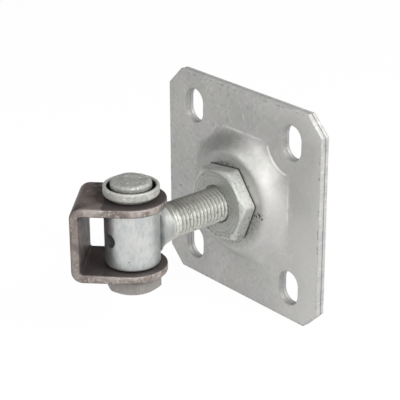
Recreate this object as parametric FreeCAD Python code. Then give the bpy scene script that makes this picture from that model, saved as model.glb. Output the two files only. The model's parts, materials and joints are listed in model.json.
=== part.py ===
"""Adjustable gate hinge: a pressed wall plate, a captive adjusting nut, an eye bolt and a weld-on bracket.

Millimetres. The origin is the centre of the face that lies on the wall or post, +Z is up along the
pivot pin, and the eye bolt points out of the wall along -Y.
"""
import FreeCAD
import Part

import math
import os

from FreeCAD import Vector

# Wall plates
PLATE_SIDE = 100.0
PLATE_CORNER_CUT = 8.5
FRONT_PLATE_THICKNESS = 2.5
BACK_PLATE_THICKNESS = 2.0
PLATE_EDGE_BREAK = 0.4
SLOT_WIDTH = 11.5
SLOT_HEIGHT = 16.0
SLOT_SPACING_X = 64.0
SLOT_SPACING_Z = 69.0
STEM_HOLE_CLEARANCE = 2.0

# Dome pressed in the front plate
DOME_BASE_WIDTH = 62.0
DOME_FLAT_DIAMETER = 43.0
DOME_HEIGHT = 7.6
DOME_BASE_SLOPE = 0.45
SCALLOP_RADIUS = 15.5
DOME_PROFILE_STEPS = (0.0, 1 / 3, 2 / 3, 1.0)

# Captive adjusting nut and the washer behind the dome
NUT_ACROSS_FLATS = 32.0
NUT_THICKNESS = 7.0
NUT_TURN_DEG = 7.5
NUT_CHAMFER_ANGLE_DEG = 30.0
NUT_COUNTERSINK = 0.9
NUT_NECK_DIAMETER = 22.0
NUT_LIP_DIAMETER = 25.0
NUT_LIP_LENGTH = 2.0
NUT_LIP_CHAMFER = 1.0
NUT_AXIAL_PLAY = 0.1
THRUST_WASHER_THICKNESS = 2.5
THRUST_WASHER_MARGIN = 3.5

# Eye bolt
STEM_DIAMETER = 16.0
STEM_END_CHAMFER = 1.5
STEM_END_INSET = 1.0
BARREL_REACH = 62.0
BARREL_DIAMETER = 24.0
BARREL_HEIGHT = 25.4
BARREL_EDGE_BREAK = 0.8
NECK_LENGTH = 21.5
NECK_BASE_DIAMETER = 22.0
NECK_FILLET = 2.0
GREASE_HOLE_DIAMETER = 6.0
THREAD_START_REACH = 16.0
THREAD_PITCH = 2.0
THREAD_DEPTH = 1.1
THREAD_CREST_WIDTH = 0.3
THREAD_OVERCUT = 0.1
THREAD_RUN_OUT_TURNS = 3

# Weld-on bracket
STRIP_WIDTH = 30.0
STRIP_THICKNESS = 4.0
EAR_CLEARANCE = 0.5
WEB_DISTANCE = 24.5
BEND_INNER_RADIUS = 1.0
STRIP_EDGE_BREAK = 0.5
BRACKET_SWING_DEG = 45.0

# Pivot pin and its washer
PIN_DIAMETER = 14.0
PIN_HEAD_ACROSS_FLATS = 22.0
PIN_HEAD_HEIGHT = 7.0
PIN_HEAD_TURN_DEG = 35.5
PIN_HEAD_CHAMFER_ANGLE_DEG = 30.0
RIVET_RIM_GAP = 1.6
RIVET_HEAD_HEIGHT = 6.0
RIVET_EDGE_ROUND = 1.8
DISH_DIAMETER = 24.2
DISH_HEIGHT = 5.6
DISH_FLOOR_THICKNESS = 2.0
DISH_SEAT_DIAMETER = 19.0
DISH_RIM_WIDTH = 1.6
DISH_RIM_BREAK = 0.5

# Fits
RUNNING_CLEARANCE = 0.08

# Places along the stem, worked out from the stack of plates
PLATE_JOINT_Y = -BACK_PLATE_THICKNESS
FRONT_FACE_Y = PLATE_JOINT_Y - FRONT_PLATE_THICKNESS
DOME_TOP_Y = FRONT_FACE_Y - DOME_HEIGHT
POCKET_TOP_Y = PLATE_JOINT_Y - DOME_HEIGHT
NUT_BACK_Y = DOME_TOP_Y - NUT_AXIAL_PLAY
NUT_FRONT_Y = NUT_BACK_Y - NUT_THICKNESS
THRUST_FRONT_Y = POCKET_TOP_Y + NUT_AXIAL_PLAY
THRUST_BACK_Y = THRUST_FRONT_Y + THRUST_WASHER_THICKNESS
BARREL_Y = FRONT_FACE_Y - BARREL_REACH
NECK_END_Y = BARREL_Y + NECK_LENGTH
THREAD_START_Y = BARREL_Y + THREAD_START_REACH
THREAD_END_Y = -STEM_END_INSET - STEM_END_CHAMFER

# Heights on the pivot, worked out from the barrel
EAR_INNER_Z = BARREL_HEIGHT / 2 + EAR_CLEARANCE
EAR_OUTER_Z = EAR_INNER_Z + STRIP_THICKNESS

BARREL_CENTRE = Vector(0, BARREL_Y, 0)
RIGHT = Vector(1, 0, 0)
OUT_OF_WALL = Vector(0, -1, 0)
INTO_WALL = Vector(0, 1, 0)
UP = Vector(0, 0, 1)
ORIGIN = Vector(0, 0, 0)
QUARTER_TURN_DEG = 90.0
HALF_TURN_DEG = 180.0
FULL_TURN_DEG = 360.0
HEX_SIDES = 6
FIND_TOLERANCE = 0.001


def disc_along_y(diameter, front_y, back_y):
    """Solid cylinder on the stem axis between two places along it."""
    return Part.makeCylinder(diameter / 2, back_y - front_y, Vector(0, front_y, 0), INTO_WALL)


def revolve_profile(points, axis):
    """Solid of revolution of a closed outline of points about an axis through the origin."""
    outline = Part.makePolygon(points + points[:1])
    return Part.Face(outline).revolve(ORIGIN, axis, FULL_TURN_DEG)


def hexagon_prism(across_flats, length, turn_deg):
    """Hexagonal prism that rises from the XY plane, with one corner at turn_deg from +X."""
    corner_radius = across_flats / 2 / math.cos(math.pi / HEX_SIDES)
    corners = []
    for index in range(HEX_SIDES):
        angle = math.radians(turn_deg) + index * 2 * math.pi / HEX_SIDES
        corners.append(Vector(corner_radius * math.cos(angle), corner_radius * math.sin(angle), 0))
    return Part.Face(Part.makePolygon(corners + corners[:1])).extrude(UP * length)


def chamfered_hexagon(across_flats, length, turn_deg, chamfer_deg):
    """Hexagonal prism whose upper corners are turned off by a cone down to the flats' circle."""
    corner_radius = across_flats / 2 / math.cos(math.pi / HEX_SIDES)
    face_radius = across_flats / 2 * math.cos(math.pi / HEX_SIDES / 2)
    drop = (corner_radius - face_radius) * math.tan(math.radians(chamfer_deg))
    turned = revolve_profile(
        [
            ORIGIN,
            Vector(corner_radius, 0, 0),
            Vector(corner_radius, 0, length - drop),
            Vector(face_radius, 0, length),
            Vector(0, 0, length),
        ],
        UP,
    )
    return hexagon_prism(across_flats, length, turn_deg).common(turned)


def edges_on_plane(shape, normal, offset):
    """Edges of a shape whose ends and middle all lie on one plane."""
    found = []
    for edge in shape.Edges:
        middle = edge.valueAt((edge.FirstParameter + edge.LastParameter) / 2)
        points = [vertex.Point for vertex in edge.Vertexes] + [middle]
        if all(abs(point.dot(normal) - offset) < FIND_TOLERANCE for point in points):
            found.append(edge)
    return found


def slot_centres():
    """Centres of the four fixing slots in the XZ plane."""
    return [
        (side_x * SLOT_SPACING_X / 2, side_z * SLOT_SPACING_Z / 2)
        for side_x in (-1, 1)
        for side_z in (-1, 1)
    ]


def slot_cutter(x, z, front_y, back_y):
    """Upright slot with round ends, cut through from front_y to back_y."""
    radius = SLOT_WIDTH / 2
    straight = SLOT_HEIGHT / 2 - radius
    right_low = Vector(x + radius, front_y, z - straight)
    right_high = Vector(x + radius, front_y, z + straight)
    left_low = Vector(x - radius, front_y, z - straight)
    left_high = Vector(x - radius, front_y, z + straight)
    outline = Part.Wire([
        Part.LineSegment(right_low, right_high).toShape(),
        Part.Arc(right_high, Vector(x, front_y, z + SLOT_HEIGHT / 2), left_high).toShape(),
        Part.LineSegment(left_high, left_low).toShape(),
        Part.Arc(left_low, Vector(x, front_y, z - SLOT_HEIGHT / 2), right_low).toShape(),
    ])
    return Part.Face(outline).extrude(INTO_WALL * (back_y - front_y))


def plate_blank(front_y, back_y):
    """Square plate with cut corners and lightly broken outer edges."""
    half = PLATE_SIDE / 2
    short = half - PLATE_CORNER_CUT
    corners = [
        (half, short), (short, half), (-short, half), (-half, short),
        (-half, -short), (-short, -half), (short, -half), (half, -short),
    ]
    points = [Vector(x, front_y, z) for x, z in corners]
    outline = Part.makePolygon(points + points[:1])
    blank = Part.Face(outline).extrude(INTO_WALL * (back_y - front_y))
    rims = edges_on_plane(blank, INTO_WALL, front_y) + edges_on_plane(blank, INTO_WALL, back_y)
    return blank.makeChamfer(PLATE_EDGE_BREAK, rims)


def cut_slots(plate, front_y, back_y):
    """Plate with its four slots, their front edges broken."""
    for x, z in slot_centres():
        plate = plate.cut(slot_cutter(x, z, front_y, back_y))
    reach = SLOT_HEIGHT / 2 + PLATE_EDGE_BREAK
    rims = []
    for edge in edges_on_plane(plate, INTO_WALL, front_y):
        centre = edge.CenterOfMass
        for x, z in slot_centres():
            if math.hypot(centre.x - x, centre.z - z) < reach:
                rims.append(edge)
    return plate.makeChamfer(PLATE_EDGE_BREAK, rims)


def dome_base_points():
    """Base outline of the dome as sixteen points in turn round it, from the right.

    Flats, the middles of a square's sides, alternate with scallops, arcs about the slots' centres that
    leave flat plate for the bolts' washers. Each gives its two ends and its middle.
    """
    half = DOME_BASE_WIDTH / 2
    slot_x = SLOT_SPACING_X / 2
    slot_z = SLOT_SPACING_Z / 2
    side_z = slot_z - math.sqrt(SCALLOP_RADIUS ** 2 - (slot_x - half) ** 2)
    side_x = slot_x - math.sqrt(SCALLOP_RADIUS ** 2 - (slot_z - half) ** 2)
    inward = 1 - SCALLOP_RADIUS / math.hypot(slot_x, slot_z)
    deep_x = slot_x * inward
    deep_z = slot_z * inward
    quarter = [(half, 0), (half, side_z), (deep_x, deep_z), (side_x, half)]
    left_top = [(-x, z) for x, z in [(0, half)] + quarter[:0:-1]]
    top_half = quarter + [(0, half)] + left_top[1:]
    return top_half + [(-x, -z) for x, z in top_half]


def dome_distances():
    """Distances round the base outline at its points, shared by all sections so that they line up."""
    points = dome_base_points()
    distances = [0.0]
    for start, end in zip(points, points[1:] + points[:1]):
        distances.append(distances[-1] + math.dist(start, end))
    return distances


def dome_rise(step):
    """Share of the height, and its slope, on the curve from the creased base to the level top."""
    left = 1 - step
    share = step * step * (3 - 2 * step) + DOME_BASE_SLOPE * step * left * left
    slope = 6 * step * left + DOME_BASE_SLOPE * left * (1 - 3 * step)
    return share, slope


def dome_section(step, base_y, wall_inset):
    """Closed wire round the dome at one step of its rise, drawn in by wall_inset for the inner face."""
    share, _ = dome_rise(step)
    top_radius = DOME_FLAT_DIAMETER / 2
    height_y = base_y - DOME_HEIGHT * share

    def placed(point):
        radius = math.hypot(*point)
        scale = (radius + (top_radius - radius) * step - wall_inset) / radius
        return Vector(point[0] * scale, height_y, point[1] * scale)

    points = [placed(point) for point in dome_base_points()]
    outline = Part.BSplineCurve()
    outline.interpolate(Points=points, PeriodicFlag=True, Parameters=dome_distances())
    return Part.Wire(outline.toShape())


def dome_solid(base_y, wall):
    """Loft of the dome's sections, drawn in by the wall's thickness square to the slope."""
    run = (DOME_BASE_WIDTH - DOME_FLAT_DIAMETER) / 2
    sections = []
    for step in DOME_PROFILE_STEPS:
        _, slope = dome_rise(step)
        lean = math.atan(DOME_HEIGHT * slope / run)
        sections.append(dome_section(step, base_y, wall * math.tan(lean / 2)))
    return Part.makeLoft(sections, True, False)


def make_front_plate():
    """Pressed plate: a blank with the dome raised, its pocket behind, the nut's hole and the slots."""
    blank = plate_blank(FRONT_FACE_Y, PLATE_JOINT_Y)
    raised = blank.fuse(dome_solid(FRONT_FACE_Y, 0.0))
    pressed = raised.cut(dome_solid(PLATE_JOINT_Y, FRONT_PLATE_THICKNESS))
    hole = disc_along_y(NUT_NECK_DIAMETER + 2 * RUNNING_CLEARANCE, DOME_TOP_Y, PLATE_JOINT_Y)
    return cut_slots(pressed.cut(hole), FRONT_FACE_Y, PLATE_JOINT_Y)


def make_back_plate():
    """Flat plate behind the dome, with a hole that lets the stem's end through."""
    blank = plate_blank(PLATE_JOINT_Y, 0.0)
    hole = disc_along_y(STEM_DIAMETER + 2 * STEM_HOLE_CLEARANCE, PLATE_JOINT_Y, 0.0)
    return cut_slots(blank.cut(hole), PLATE_JOINT_Y, 0.0)


def make_adjusting_nut():
    """Hexagon on the dome, with a neck through it and a lip peened over the washer inside."""
    hexagon = chamfered_hexagon(NUT_ACROSS_FLATS, NUT_THICKNESS, NUT_TURN_DEG, NUT_CHAMFER_ANGLE_DEG)
    hexagon.rotate(ORIGIN, RIGHT, QUARTER_TURN_DEG)
    hexagon.translate(Vector(0, NUT_BACK_Y, 0))
    neck = disc_along_y(NUT_NECK_DIAMETER, NUT_BACK_Y, THRUST_BACK_Y)
    lip = disc_along_y(NUT_LIP_DIAMETER, THRUST_BACK_Y, THRUST_BACK_Y + NUT_LIP_LENGTH)
    lip_round = edges_on_plane(lip, INTO_WALL, THRUST_BACK_Y + NUT_LIP_LENGTH)
    lip = lip.makeChamfer(NUT_LIP_CHAMFER, lip_round)
    bore = STEM_DIAMETER / 2 + RUNNING_CLEARANCE
    cutter = disc_along_y(2 * bore, NUT_FRONT_Y, THRUST_BACK_Y + NUT_LIP_LENGTH)
    countersink = Part.makeCone(
        bore + NUT_COUNTERSINK, bore, NUT_COUNTERSINK, Vector(0, NUT_FRONT_Y, 0), INTO_WALL)
    return hexagon.fuse([neck, lip]).cut(cutter).cut(countersink).removeSplitter()


def make_thrust_washer():
    """Flat ring on the nut's neck that pulls against the inside of the dome."""
    diameter = DOME_FLAT_DIAMETER - 2 * THRUST_WASHER_MARGIN
    ring = disc_along_y(diameter, THRUST_FRONT_Y, THRUST_BACK_Y)
    return ring.cut(disc_along_y(NUT_NECK_DIAMETER, THRUST_FRONT_Y, THRUST_BACK_Y))


def make_eye_bolt():
    """Forged eye bolt: conical neck and barrel, with the pin's bore, a grease hole and the thread's rings."""
    stem = disc_along_y(STEM_DIAMETER, NECK_END_Y, -STEM_END_INSET)
    stem = stem.makeChamfer(STEM_END_CHAMFER, edges_on_plane(stem, INTO_WALL, -STEM_END_INSET))
    neck = Part.makeCone(
        NECK_BASE_DIAMETER / 2, STEM_DIAMETER / 2, NECK_LENGTH, BARREL_CENTRE, INTO_WALL)
    low_end = BARREL_CENTRE - UP * (BARREL_HEIGHT / 2)
    barrel = Part.makeCylinder(BARREL_DIAMETER / 2, BARREL_HEIGHT, low_end, UP)
    rims = edges_on_plane(barrel, UP, BARREL_HEIGHT / 2) + edges_on_plane(barrel, UP, -BARREL_HEIGHT / 2)
    barrel = barrel.makeChamfer(BARREL_EDGE_BREAK, rims)
    forging = barrel.fuse([neck, stem]).removeSplitter()
    forging = forging.makeFillet(NECK_FILLET, barrel_neck_edges(forging))
    bore = Part.makeCylinder(PIN_DIAMETER / 2 + RUNNING_CLEARANCE, BARREL_HEIGHT, low_end, UP)
    drill = Part.makeCylinder(GREASE_HOLE_DIAMETER / 2, BARREL_DIAMETER / 2, BARREL_CENTRE, OUT_OF_WALL)
    return forging.cut([bore, drill] + thread_grooves())


def shank_radius(y):
    """Radius of the neck's cone or of the stem at a place along it."""
    share = min((y - BARREL_Y) / NECK_LENGTH, 1.0)
    return (NECK_BASE_DIAMETER + (STEM_DIAMETER - NECK_BASE_DIAMETER) * share) / 2


def thread_grooves():
    """Cutters for the thread, one ring to each turn, that run out in the first turns on the neck."""
    half = (THREAD_PITCH - THREAD_CREST_WIDTH) / 2
    mouth = half * (1 + THREAD_OVERCUT / THREAD_DEPTH)
    grooves = []
    for turn in range(int((THREAD_END_Y - THREAD_START_Y) / THREAD_PITCH)):
        middle = THREAD_START_Y + (turn + 1 / 2) * THREAD_PITCH
        depth = THREAD_DEPTH * min((turn + 1) / THREAD_RUN_OUT_TURNS, 1.0)
        grooves.append(revolve_profile(
            [
                Vector(shank_radius(middle - half) + THREAD_OVERCUT, middle - mouth, 0),
                Vector(shank_radius(middle) - depth, middle, 0),
                Vector(shank_radius(middle + half) + THREAD_OVERCUT, middle + mouth, 0),
            ],
            INTO_WALL,
        ))
    return grooves


def barrel_neck_edges(forging):
    """Edges where the neck runs into the round of the barrel."""
    found = []
    for edge in forging.Edges:
        middle = edge.valueAt((edge.FirstParameter + edge.LastParameter) / 2)
        from_pin = math.hypot(middle.x, middle.y - BARREL_Y)
        from_stem = math.hypot(middle.x, middle.z)
        on_barrel = abs(from_pin - BARREL_DIAMETER / 2) < FIND_TOLERANCE
        on_neck = STEM_DIAMETER / 2 < from_stem < NECK_BASE_DIAMETER / 2
        if on_barrel and on_neck:
            found.append(edge)
    return found


def make_hinge_bracket():
    """Strip bent to a U round the barrel, ears with round ends and holes for the pin."""
    outer_radius = BEND_INNER_RADIUS + STRIP_THICKNESS
    half = STRIP_WIDTH / 2
    outer = Part.makeBox(
        WEB_DISTANCE + half, STRIP_WIDTH, 2 * EAR_OUTER_Z, Vector(-WEB_DISTANCE, -half, -EAR_OUTER_Z))
    web_inner = -WEB_DISTANCE + STRIP_THICKNESS
    inner = Part.makeBox(
        half - web_inner, STRIP_WIDTH, 2 * EAR_INNER_Z, Vector(web_inner, -half, -EAR_INNER_Z))
    outer = outer.makeFillet(outer_radius, bend_edges(outer, -WEB_DISTANCE))
    inner = inner.makeFillet(BEND_INNER_RADIUS, bend_edges(inner, web_inner))
    shank = Part.makeBox(
        WEB_DISTANCE, STRIP_WIDTH, 2 * EAR_OUTER_Z, Vector(-WEB_DISTANCE, -half, -EAR_OUTER_Z))
    round_end = Part.makeCylinder(half, 2 * EAR_OUTER_Z, Vector(0, 0, -EAR_OUTER_Z), UP)
    bent = outer.cut(inner).common(shank.fuse(round_end).removeSplitter())
    hole = Part.makeCylinder(
        PIN_DIAMETER / 2 + RUNNING_CLEARANCE, 2 * EAR_OUTER_Z, Vector(0, 0, -EAR_OUTER_Z), UP)
    bent = bent.removeSplitter()
    bracket = bent.makeChamfer(STRIP_EDGE_BREAK, strip_rims(bent)).cut(hole)
    bracket.rotate(ORIGIN, UP, BRACKET_SWING_DEG)
    bracket.translate(BARREL_CENTRE)
    return bracket


def strip_rims(bent):
    """Edges along the two cut sides of the strip and round the ears' ends."""
    half = STRIP_WIDTH / 2
    found = []
    for edge in bent.Edges:
        middle = edge.valueAt((edge.FirstParameter + edge.LastParameter) / 2)
        along_side = abs(abs(middle.y) - half) < FIND_TOLERANCE
        round_end = abs(math.hypot(middle.x, middle.y) - half) < FIND_TOLERANCE
        at_seam = abs(middle.x) < FIND_TOLERANCE
        if (along_side or (round_end and middle.x > 0)) and not at_seam:
            found.append(edge)
    return found


def bend_edges(block, web_x):
    """Edges across the strip at the two bends of a block's web side."""
    return [
        edge for edge in edges_on_plane(block, RIGHT, web_x)
        if edge.BoundBox.YLength > STRIP_WIDTH / 2
    ]


def make_pivot_pin():
    """Pin with a hexagon head below and a round-edged head riveted over the washer on top."""
    head = chamfered_hexagon(
        PIN_HEAD_ACROSS_FLATS, PIN_HEAD_HEIGHT, -PIN_HEAD_TURN_DEG, PIN_HEAD_CHAMFER_ANGLE_DEG)
    head.rotate(ORIGIN, RIGHT, HALF_TURN_DEG)
    head.translate(Vector(0, 0, -EAR_OUTER_Z))
    seat = EAR_OUTER_Z + DISH_FLOOR_THICKNESS
    shank = Part.makeCylinder(PIN_DIAMETER / 2, EAR_OUTER_Z + seat, Vector(0, 0, -EAR_OUTER_Z), UP)
    rivet_radius = DISH_DIAMETER / 2 - DISH_RIM_WIDTH - RIVET_RIM_GAP
    rivet = Part.makeCylinder(rivet_radius, RIVET_HEAD_HEIGHT, Vector(0, 0, seat), UP)
    rivet = rivet.makeFillet(RIVET_EDGE_ROUND, edges_on_plane(rivet, UP, seat + RIVET_HEAD_HEIGHT))
    pin = head.fuse([shank, rivet]).removeSplitter()
    pin.translate(BARREL_CENTRE)
    return pin


def make_retaining_washer():
    """Dished washer that flares from its seat on the ear to an upright rim."""
    hole = PIN_DIAMETER / 2
    seat = DISH_SEAT_DIAMETER / 2
    rim = DISH_DIAMETER / 2
    floor = EAR_OUTER_Z + DISH_FLOOR_THICKNESS
    top = EAR_OUTER_Z + DISH_HEIGHT
    dish = revolve_profile(
        [
            Vector(hole, 0, EAR_OUTER_Z),
            Vector(seat, 0, EAR_OUTER_Z),
            Vector(rim, 0, floor),
            Vector(rim, 0, top),
            Vector(rim - DISH_RIM_WIDTH, 0, top),
            Vector(rim - DISH_RIM_WIDTH, 0, floor),
            Vector(hole, 0, floor),
        ],
        UP,
    )
    dish = dish.makeChamfer(DISH_RIM_BREAK, edges_on_plane(dish, UP, top))
    dish.translate(BARREL_CENTRE)
    return dish


def main():
    """Build every piece and write one file for each."""
    os.makedirs("parts", exist_ok=True)
    pieces = {
        "front_plate": make_front_plate(),
        "back_plate": make_back_plate(),
        "adjusting_nut": make_adjusting_nut(),
        "thrust_washer": make_thrust_washer(),
        "eye_bolt": make_eye_bolt(),
        "hinge_bracket": make_hinge_bracket(),
        "pivot_pin": make_pivot_pin(),
        "retaining_washer": make_retaining_washer(),
    }
    for name, shape in pieces.items():
        shape.exportStep("parts/" + name + ".step")


main()
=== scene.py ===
"""Visual model of an adjustable gate hinge.

Every piece is a surface worked out with numpy, in millimetres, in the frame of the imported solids: x to the
right, y into the wall and z up along the pivot pin. Meshes are made in metres.
"""
import json
import logging
import math
from dataclasses import dataclass, field
from enum import Enum, IntEnum

import bmesh
import bpy
import numpy as np
from mathutils import Matrix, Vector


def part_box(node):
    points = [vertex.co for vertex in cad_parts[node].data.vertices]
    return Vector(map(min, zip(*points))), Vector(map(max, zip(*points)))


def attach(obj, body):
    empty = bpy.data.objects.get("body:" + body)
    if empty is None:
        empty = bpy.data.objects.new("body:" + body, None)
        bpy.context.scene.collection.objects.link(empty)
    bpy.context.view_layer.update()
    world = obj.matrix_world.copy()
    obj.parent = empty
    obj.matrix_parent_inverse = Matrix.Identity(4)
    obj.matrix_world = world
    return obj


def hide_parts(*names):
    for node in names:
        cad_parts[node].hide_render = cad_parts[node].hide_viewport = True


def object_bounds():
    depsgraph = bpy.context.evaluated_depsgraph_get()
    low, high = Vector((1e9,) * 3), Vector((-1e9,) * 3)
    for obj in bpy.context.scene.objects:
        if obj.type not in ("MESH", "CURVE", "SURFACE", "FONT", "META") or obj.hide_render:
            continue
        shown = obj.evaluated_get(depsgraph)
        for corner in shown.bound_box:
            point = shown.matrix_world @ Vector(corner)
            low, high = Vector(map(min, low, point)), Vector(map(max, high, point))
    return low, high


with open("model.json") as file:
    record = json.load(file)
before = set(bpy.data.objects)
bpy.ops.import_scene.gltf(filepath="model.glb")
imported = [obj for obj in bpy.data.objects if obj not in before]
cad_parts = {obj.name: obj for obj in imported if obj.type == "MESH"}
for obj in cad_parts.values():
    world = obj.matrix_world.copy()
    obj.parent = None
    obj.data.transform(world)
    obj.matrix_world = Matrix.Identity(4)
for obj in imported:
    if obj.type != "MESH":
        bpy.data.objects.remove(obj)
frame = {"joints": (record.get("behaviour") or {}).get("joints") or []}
SOLID_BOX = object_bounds()

LOG = logging.getLogger("gate_hinge")
MM = 0.001

# Points closer than this, in metres, are one, and edges between faces that lean more than this are creases.
MERGE_DISTANCE = 2e-6
CREASE_DEG = 32.0

# Smallest number to divide by.
TINY = 1e-9

# Place of the pivot pin's axis along y, in millimetres.
PIN_Y = next(joint["pos_m"][1] for joint in frame["joints"] if joint["name"] == "bracket_swing") / MM

# Sizes that two pieces share, or a piece and its finish, in millimetres and degrees.
FOOT_WIDTH = 62.0
SCALLOP_RADIUS = 15.5
SLOT_CENTRE = (32.0, 34.5)
NUT_ACROSS_FLATS = 32.0
NUT_TURN_DEG = 7.5
BARREL_RADIUS = 12.0
PIN_BORE = 7.08

# Sockets of the node that mixes two colours, which share their names with its other sockets.
MIX_UNDER = 6
MIX_OVER = 7
MIX_RESULT = 2

Array = np.ndarray
Row = tuple[Array | float, Array | float]
Socket = bpy.types.NodeSocket
Triple = tuple[float, float, float]
Colour = Triple
EVEN: Triple = (1.0, 1.0, 1.0)


class Axis(Enum):
    """Axes that pieces are turned about."""

    STEM = "along the eye bolt"
    PIN = "along the pivot pin"


class Job(Enum):
    """Ways to put two closed meshes together."""

    JOIN = "UNION"
    CUT = "DIFFERENCE"


def box_mm(node: str) -> tuple[Array, Array]:
    """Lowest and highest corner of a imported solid.

    Args:
        node: Name of the solid.

    Returns:
        Both corners in millimetres.
    """
    low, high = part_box(node)
    return np.array(low) / MM, np.array(high) / MM


def full_turn(columns: int, start: float = 0.0) -> Array:
    """Angles of the columns of a closed surface.

    Args:
        columns: Number of columns round the axis.
        start: Angle of the first column, in radians.

    Returns:
        Evenly spaced angles over one turn, without the repeat of the first.
    """
    return start + np.linspace(0.0, 2.0 * np.pi, columns, endpoint=False)


def turned(radius: Array, along: Array, angle: Array, axis: Axis, centre_y: float = 0.0) -> Array:
    """Surface turned about an axis: radius times (cos angle, sin angle) across it, and along on it.

    Args:
        radius: Radius of each row, or of each row and column.
        along: Place of each row on the axis, or of each row and column.
        angle: Angle of each column.
        axis: The axis.
        centre_y: Place of the pivot pin's axis along y.

    Returns:
        Grid of points, rows by columns by three.
    """
    radius = radius[:, None] if radius.ndim == 1 else radius
    along = along[:, None] if along.ndim == 1 else along
    across = radius * np.cos(angle)
    around = radius * np.sin(angle)
    level = along + np.zeros_like(across)
    if axis is Axis.STEM:
        return np.stack([across, level, around], axis=-1)
    return np.stack([across, around + centre_y, level], axis=-1)


def stacked(rows: list[Row], columns: int) -> tuple[Array, Array]:
    """Rows of a turned surface as two whole arrays.

    Args:
        rows: Radius and place on the axis of each row, as a number or as one value for each column.
        columns: Number of columns.

    Returns:
        Radius, and place on the axis, of each row and column.
    """
    radius, along = zip(*rows)
    spread = [np.stack([np.broadcast_to(row, columns) for row in side]) for side in (radius, along)]
    return spread[0], spread[1]


def ring_section(inner: float, outer: float, low: float, high: float) -> list[tuple[float, float]]:
    """Corners of a ring's section, between two radii and two places on its axis."""
    return [(inner, low), (outer, low), (outer, high), (inner, high)]


def rounded(corners: list[tuple[float, float]], rounds: tuple[float, ...], steps: int = 5) -> Array:
    """Closed outline with round corners.

    At each corner the two sides are left at radius / tan(half angle) from it, and an arc about the point
    at radius / sin(half angle) on the bisector joins them.

    Args:
        corners: Two coordinates of each corner.
        rounds: Radius of each corner's round.
        steps: Points on each round.

    Returns:
        Points of the outline, the first one repeated at the end.
    """
    point, radius = np.array(corners), np.array(rounds)[:, None]
    before = np.roll(point, 1, axis=0) - point
    after = np.roll(point, -1, axis=0) - point
    before /= np.linalg.norm(before, axis=1, keepdims=True)
    after /= np.linalg.norm(after, axis=1, keepdims=True)
    half = np.arccos(np.clip((before * after).sum(axis=1, keepdims=True), -1.0, 1.0)) / 2.0
    bisector = before + after
    bisector /= np.linalg.norm(bisector, axis=1, keepdims=True)
    centre = point + bisector * radius / np.sin(half)
    leave = point + before * radius / np.tan(half) - centre
    enter = point + after * radius / np.tan(half) - centre
    sweep = np.pi - 2.0 * half
    share = np.linspace(0.0, 1.0, steps)[None, :, None]
    sweep = sweep[:, :, None]
    arc = np.sin((1.0 - share) * sweep) * leave[:, None] + np.sin(share * sweep) * enter[:, None]
    outline = (centre[:, None] + arc / np.sin(sweep)).reshape(-1, 2)
    return np.concatenate([outline, outline[:1]])


def broken_edge(edge: float, thickness: float, steps: int = 4) -> tuple[Array, Array]:
    """Profile of the rim of a sheet whose two edges are rounded.

    Args:
        edge: Radius of the rounds.
        thickness: Thickness of the sheet.
        steps: Points on each round.

    Returns:
        Distance of each profile point from the rim's wall, and its depth below the front face.
    """
    angle = np.linspace(0.0, np.pi / 2.0, steps)
    inset = edge * (1.0 - np.sin(angle))
    depth = edge * (1.0 - np.cos(angle))
    return np.concatenate([inset, inset[::-1]]), np.concatenate([depth, thickness - depth[::-1]])


@dataclass(frozen=True)
class Hexagon:
    """Hexagon of a nut or of a pin's head, its corners turned off by a cone that starts at a round face.

    The cone's ends are the rows on its outer rim, each as a distance inwards and a distance behind it.
    """

    across_flats: float
    turn_deg: float
    cone_ends: tuple[tuple[float, float], ...]
    back_edge: float
    face_edge: tuple[float, float] = (0.3, 0.05)
    chamfer_deg: float = 30.0
    face_deg: float = 15.0
    sharpness: float = 44.0
    columns: int = 144

    @property
    def angle(self) -> Array:
        """Angles of the columns, the first one at a corner."""
        return full_turn(self.columns, math.radians(self.turn_deg))

    @property
    def radius(self) -> Array:
        """Radius at each column, with softly worn corners.

        One over the radius is the power mean, of high power, of the cosines to the six flats.

        Returns:
            One radius for each column.
        """
        flats = math.radians(self.turn_deg) + np.pi / 6.0 + np.arange(6)[:, None] * np.pi / 3.0
        facing = np.maximum(np.cos(self.angle - flats), 0.0)
        return self.across_flats / 2.0 / (facing ** self.sharpness).sum(axis=0) ** (1.0 / self.sharpness)

    def rows(self, face: float, back: float) -> list[Row]:
        """Rows of a turned surface from the face's rim, over the cone and the flats, to the back.

        Args:
            face: Place of the face on the axis.
            back: Place of the back on the axis.

        Returns:
            Radius and place of each row.
        """
        radius = self.radius
        rim = self.across_flats / 2.0 * math.cos(math.radians(self.face_deg))
        cone = face + (radius - rim) * math.tan(math.radians(self.chamfer_deg))
        width, fall = self.face_edge
        return [
            (rim - width, face),
            (rim, face + fall),
            *[(radius - inward, cone + behind) for inward, behind in self.cone_ends],
            (radius, back - self.back_edge),
            (radius - self.back_edge, back),
        ]


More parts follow.
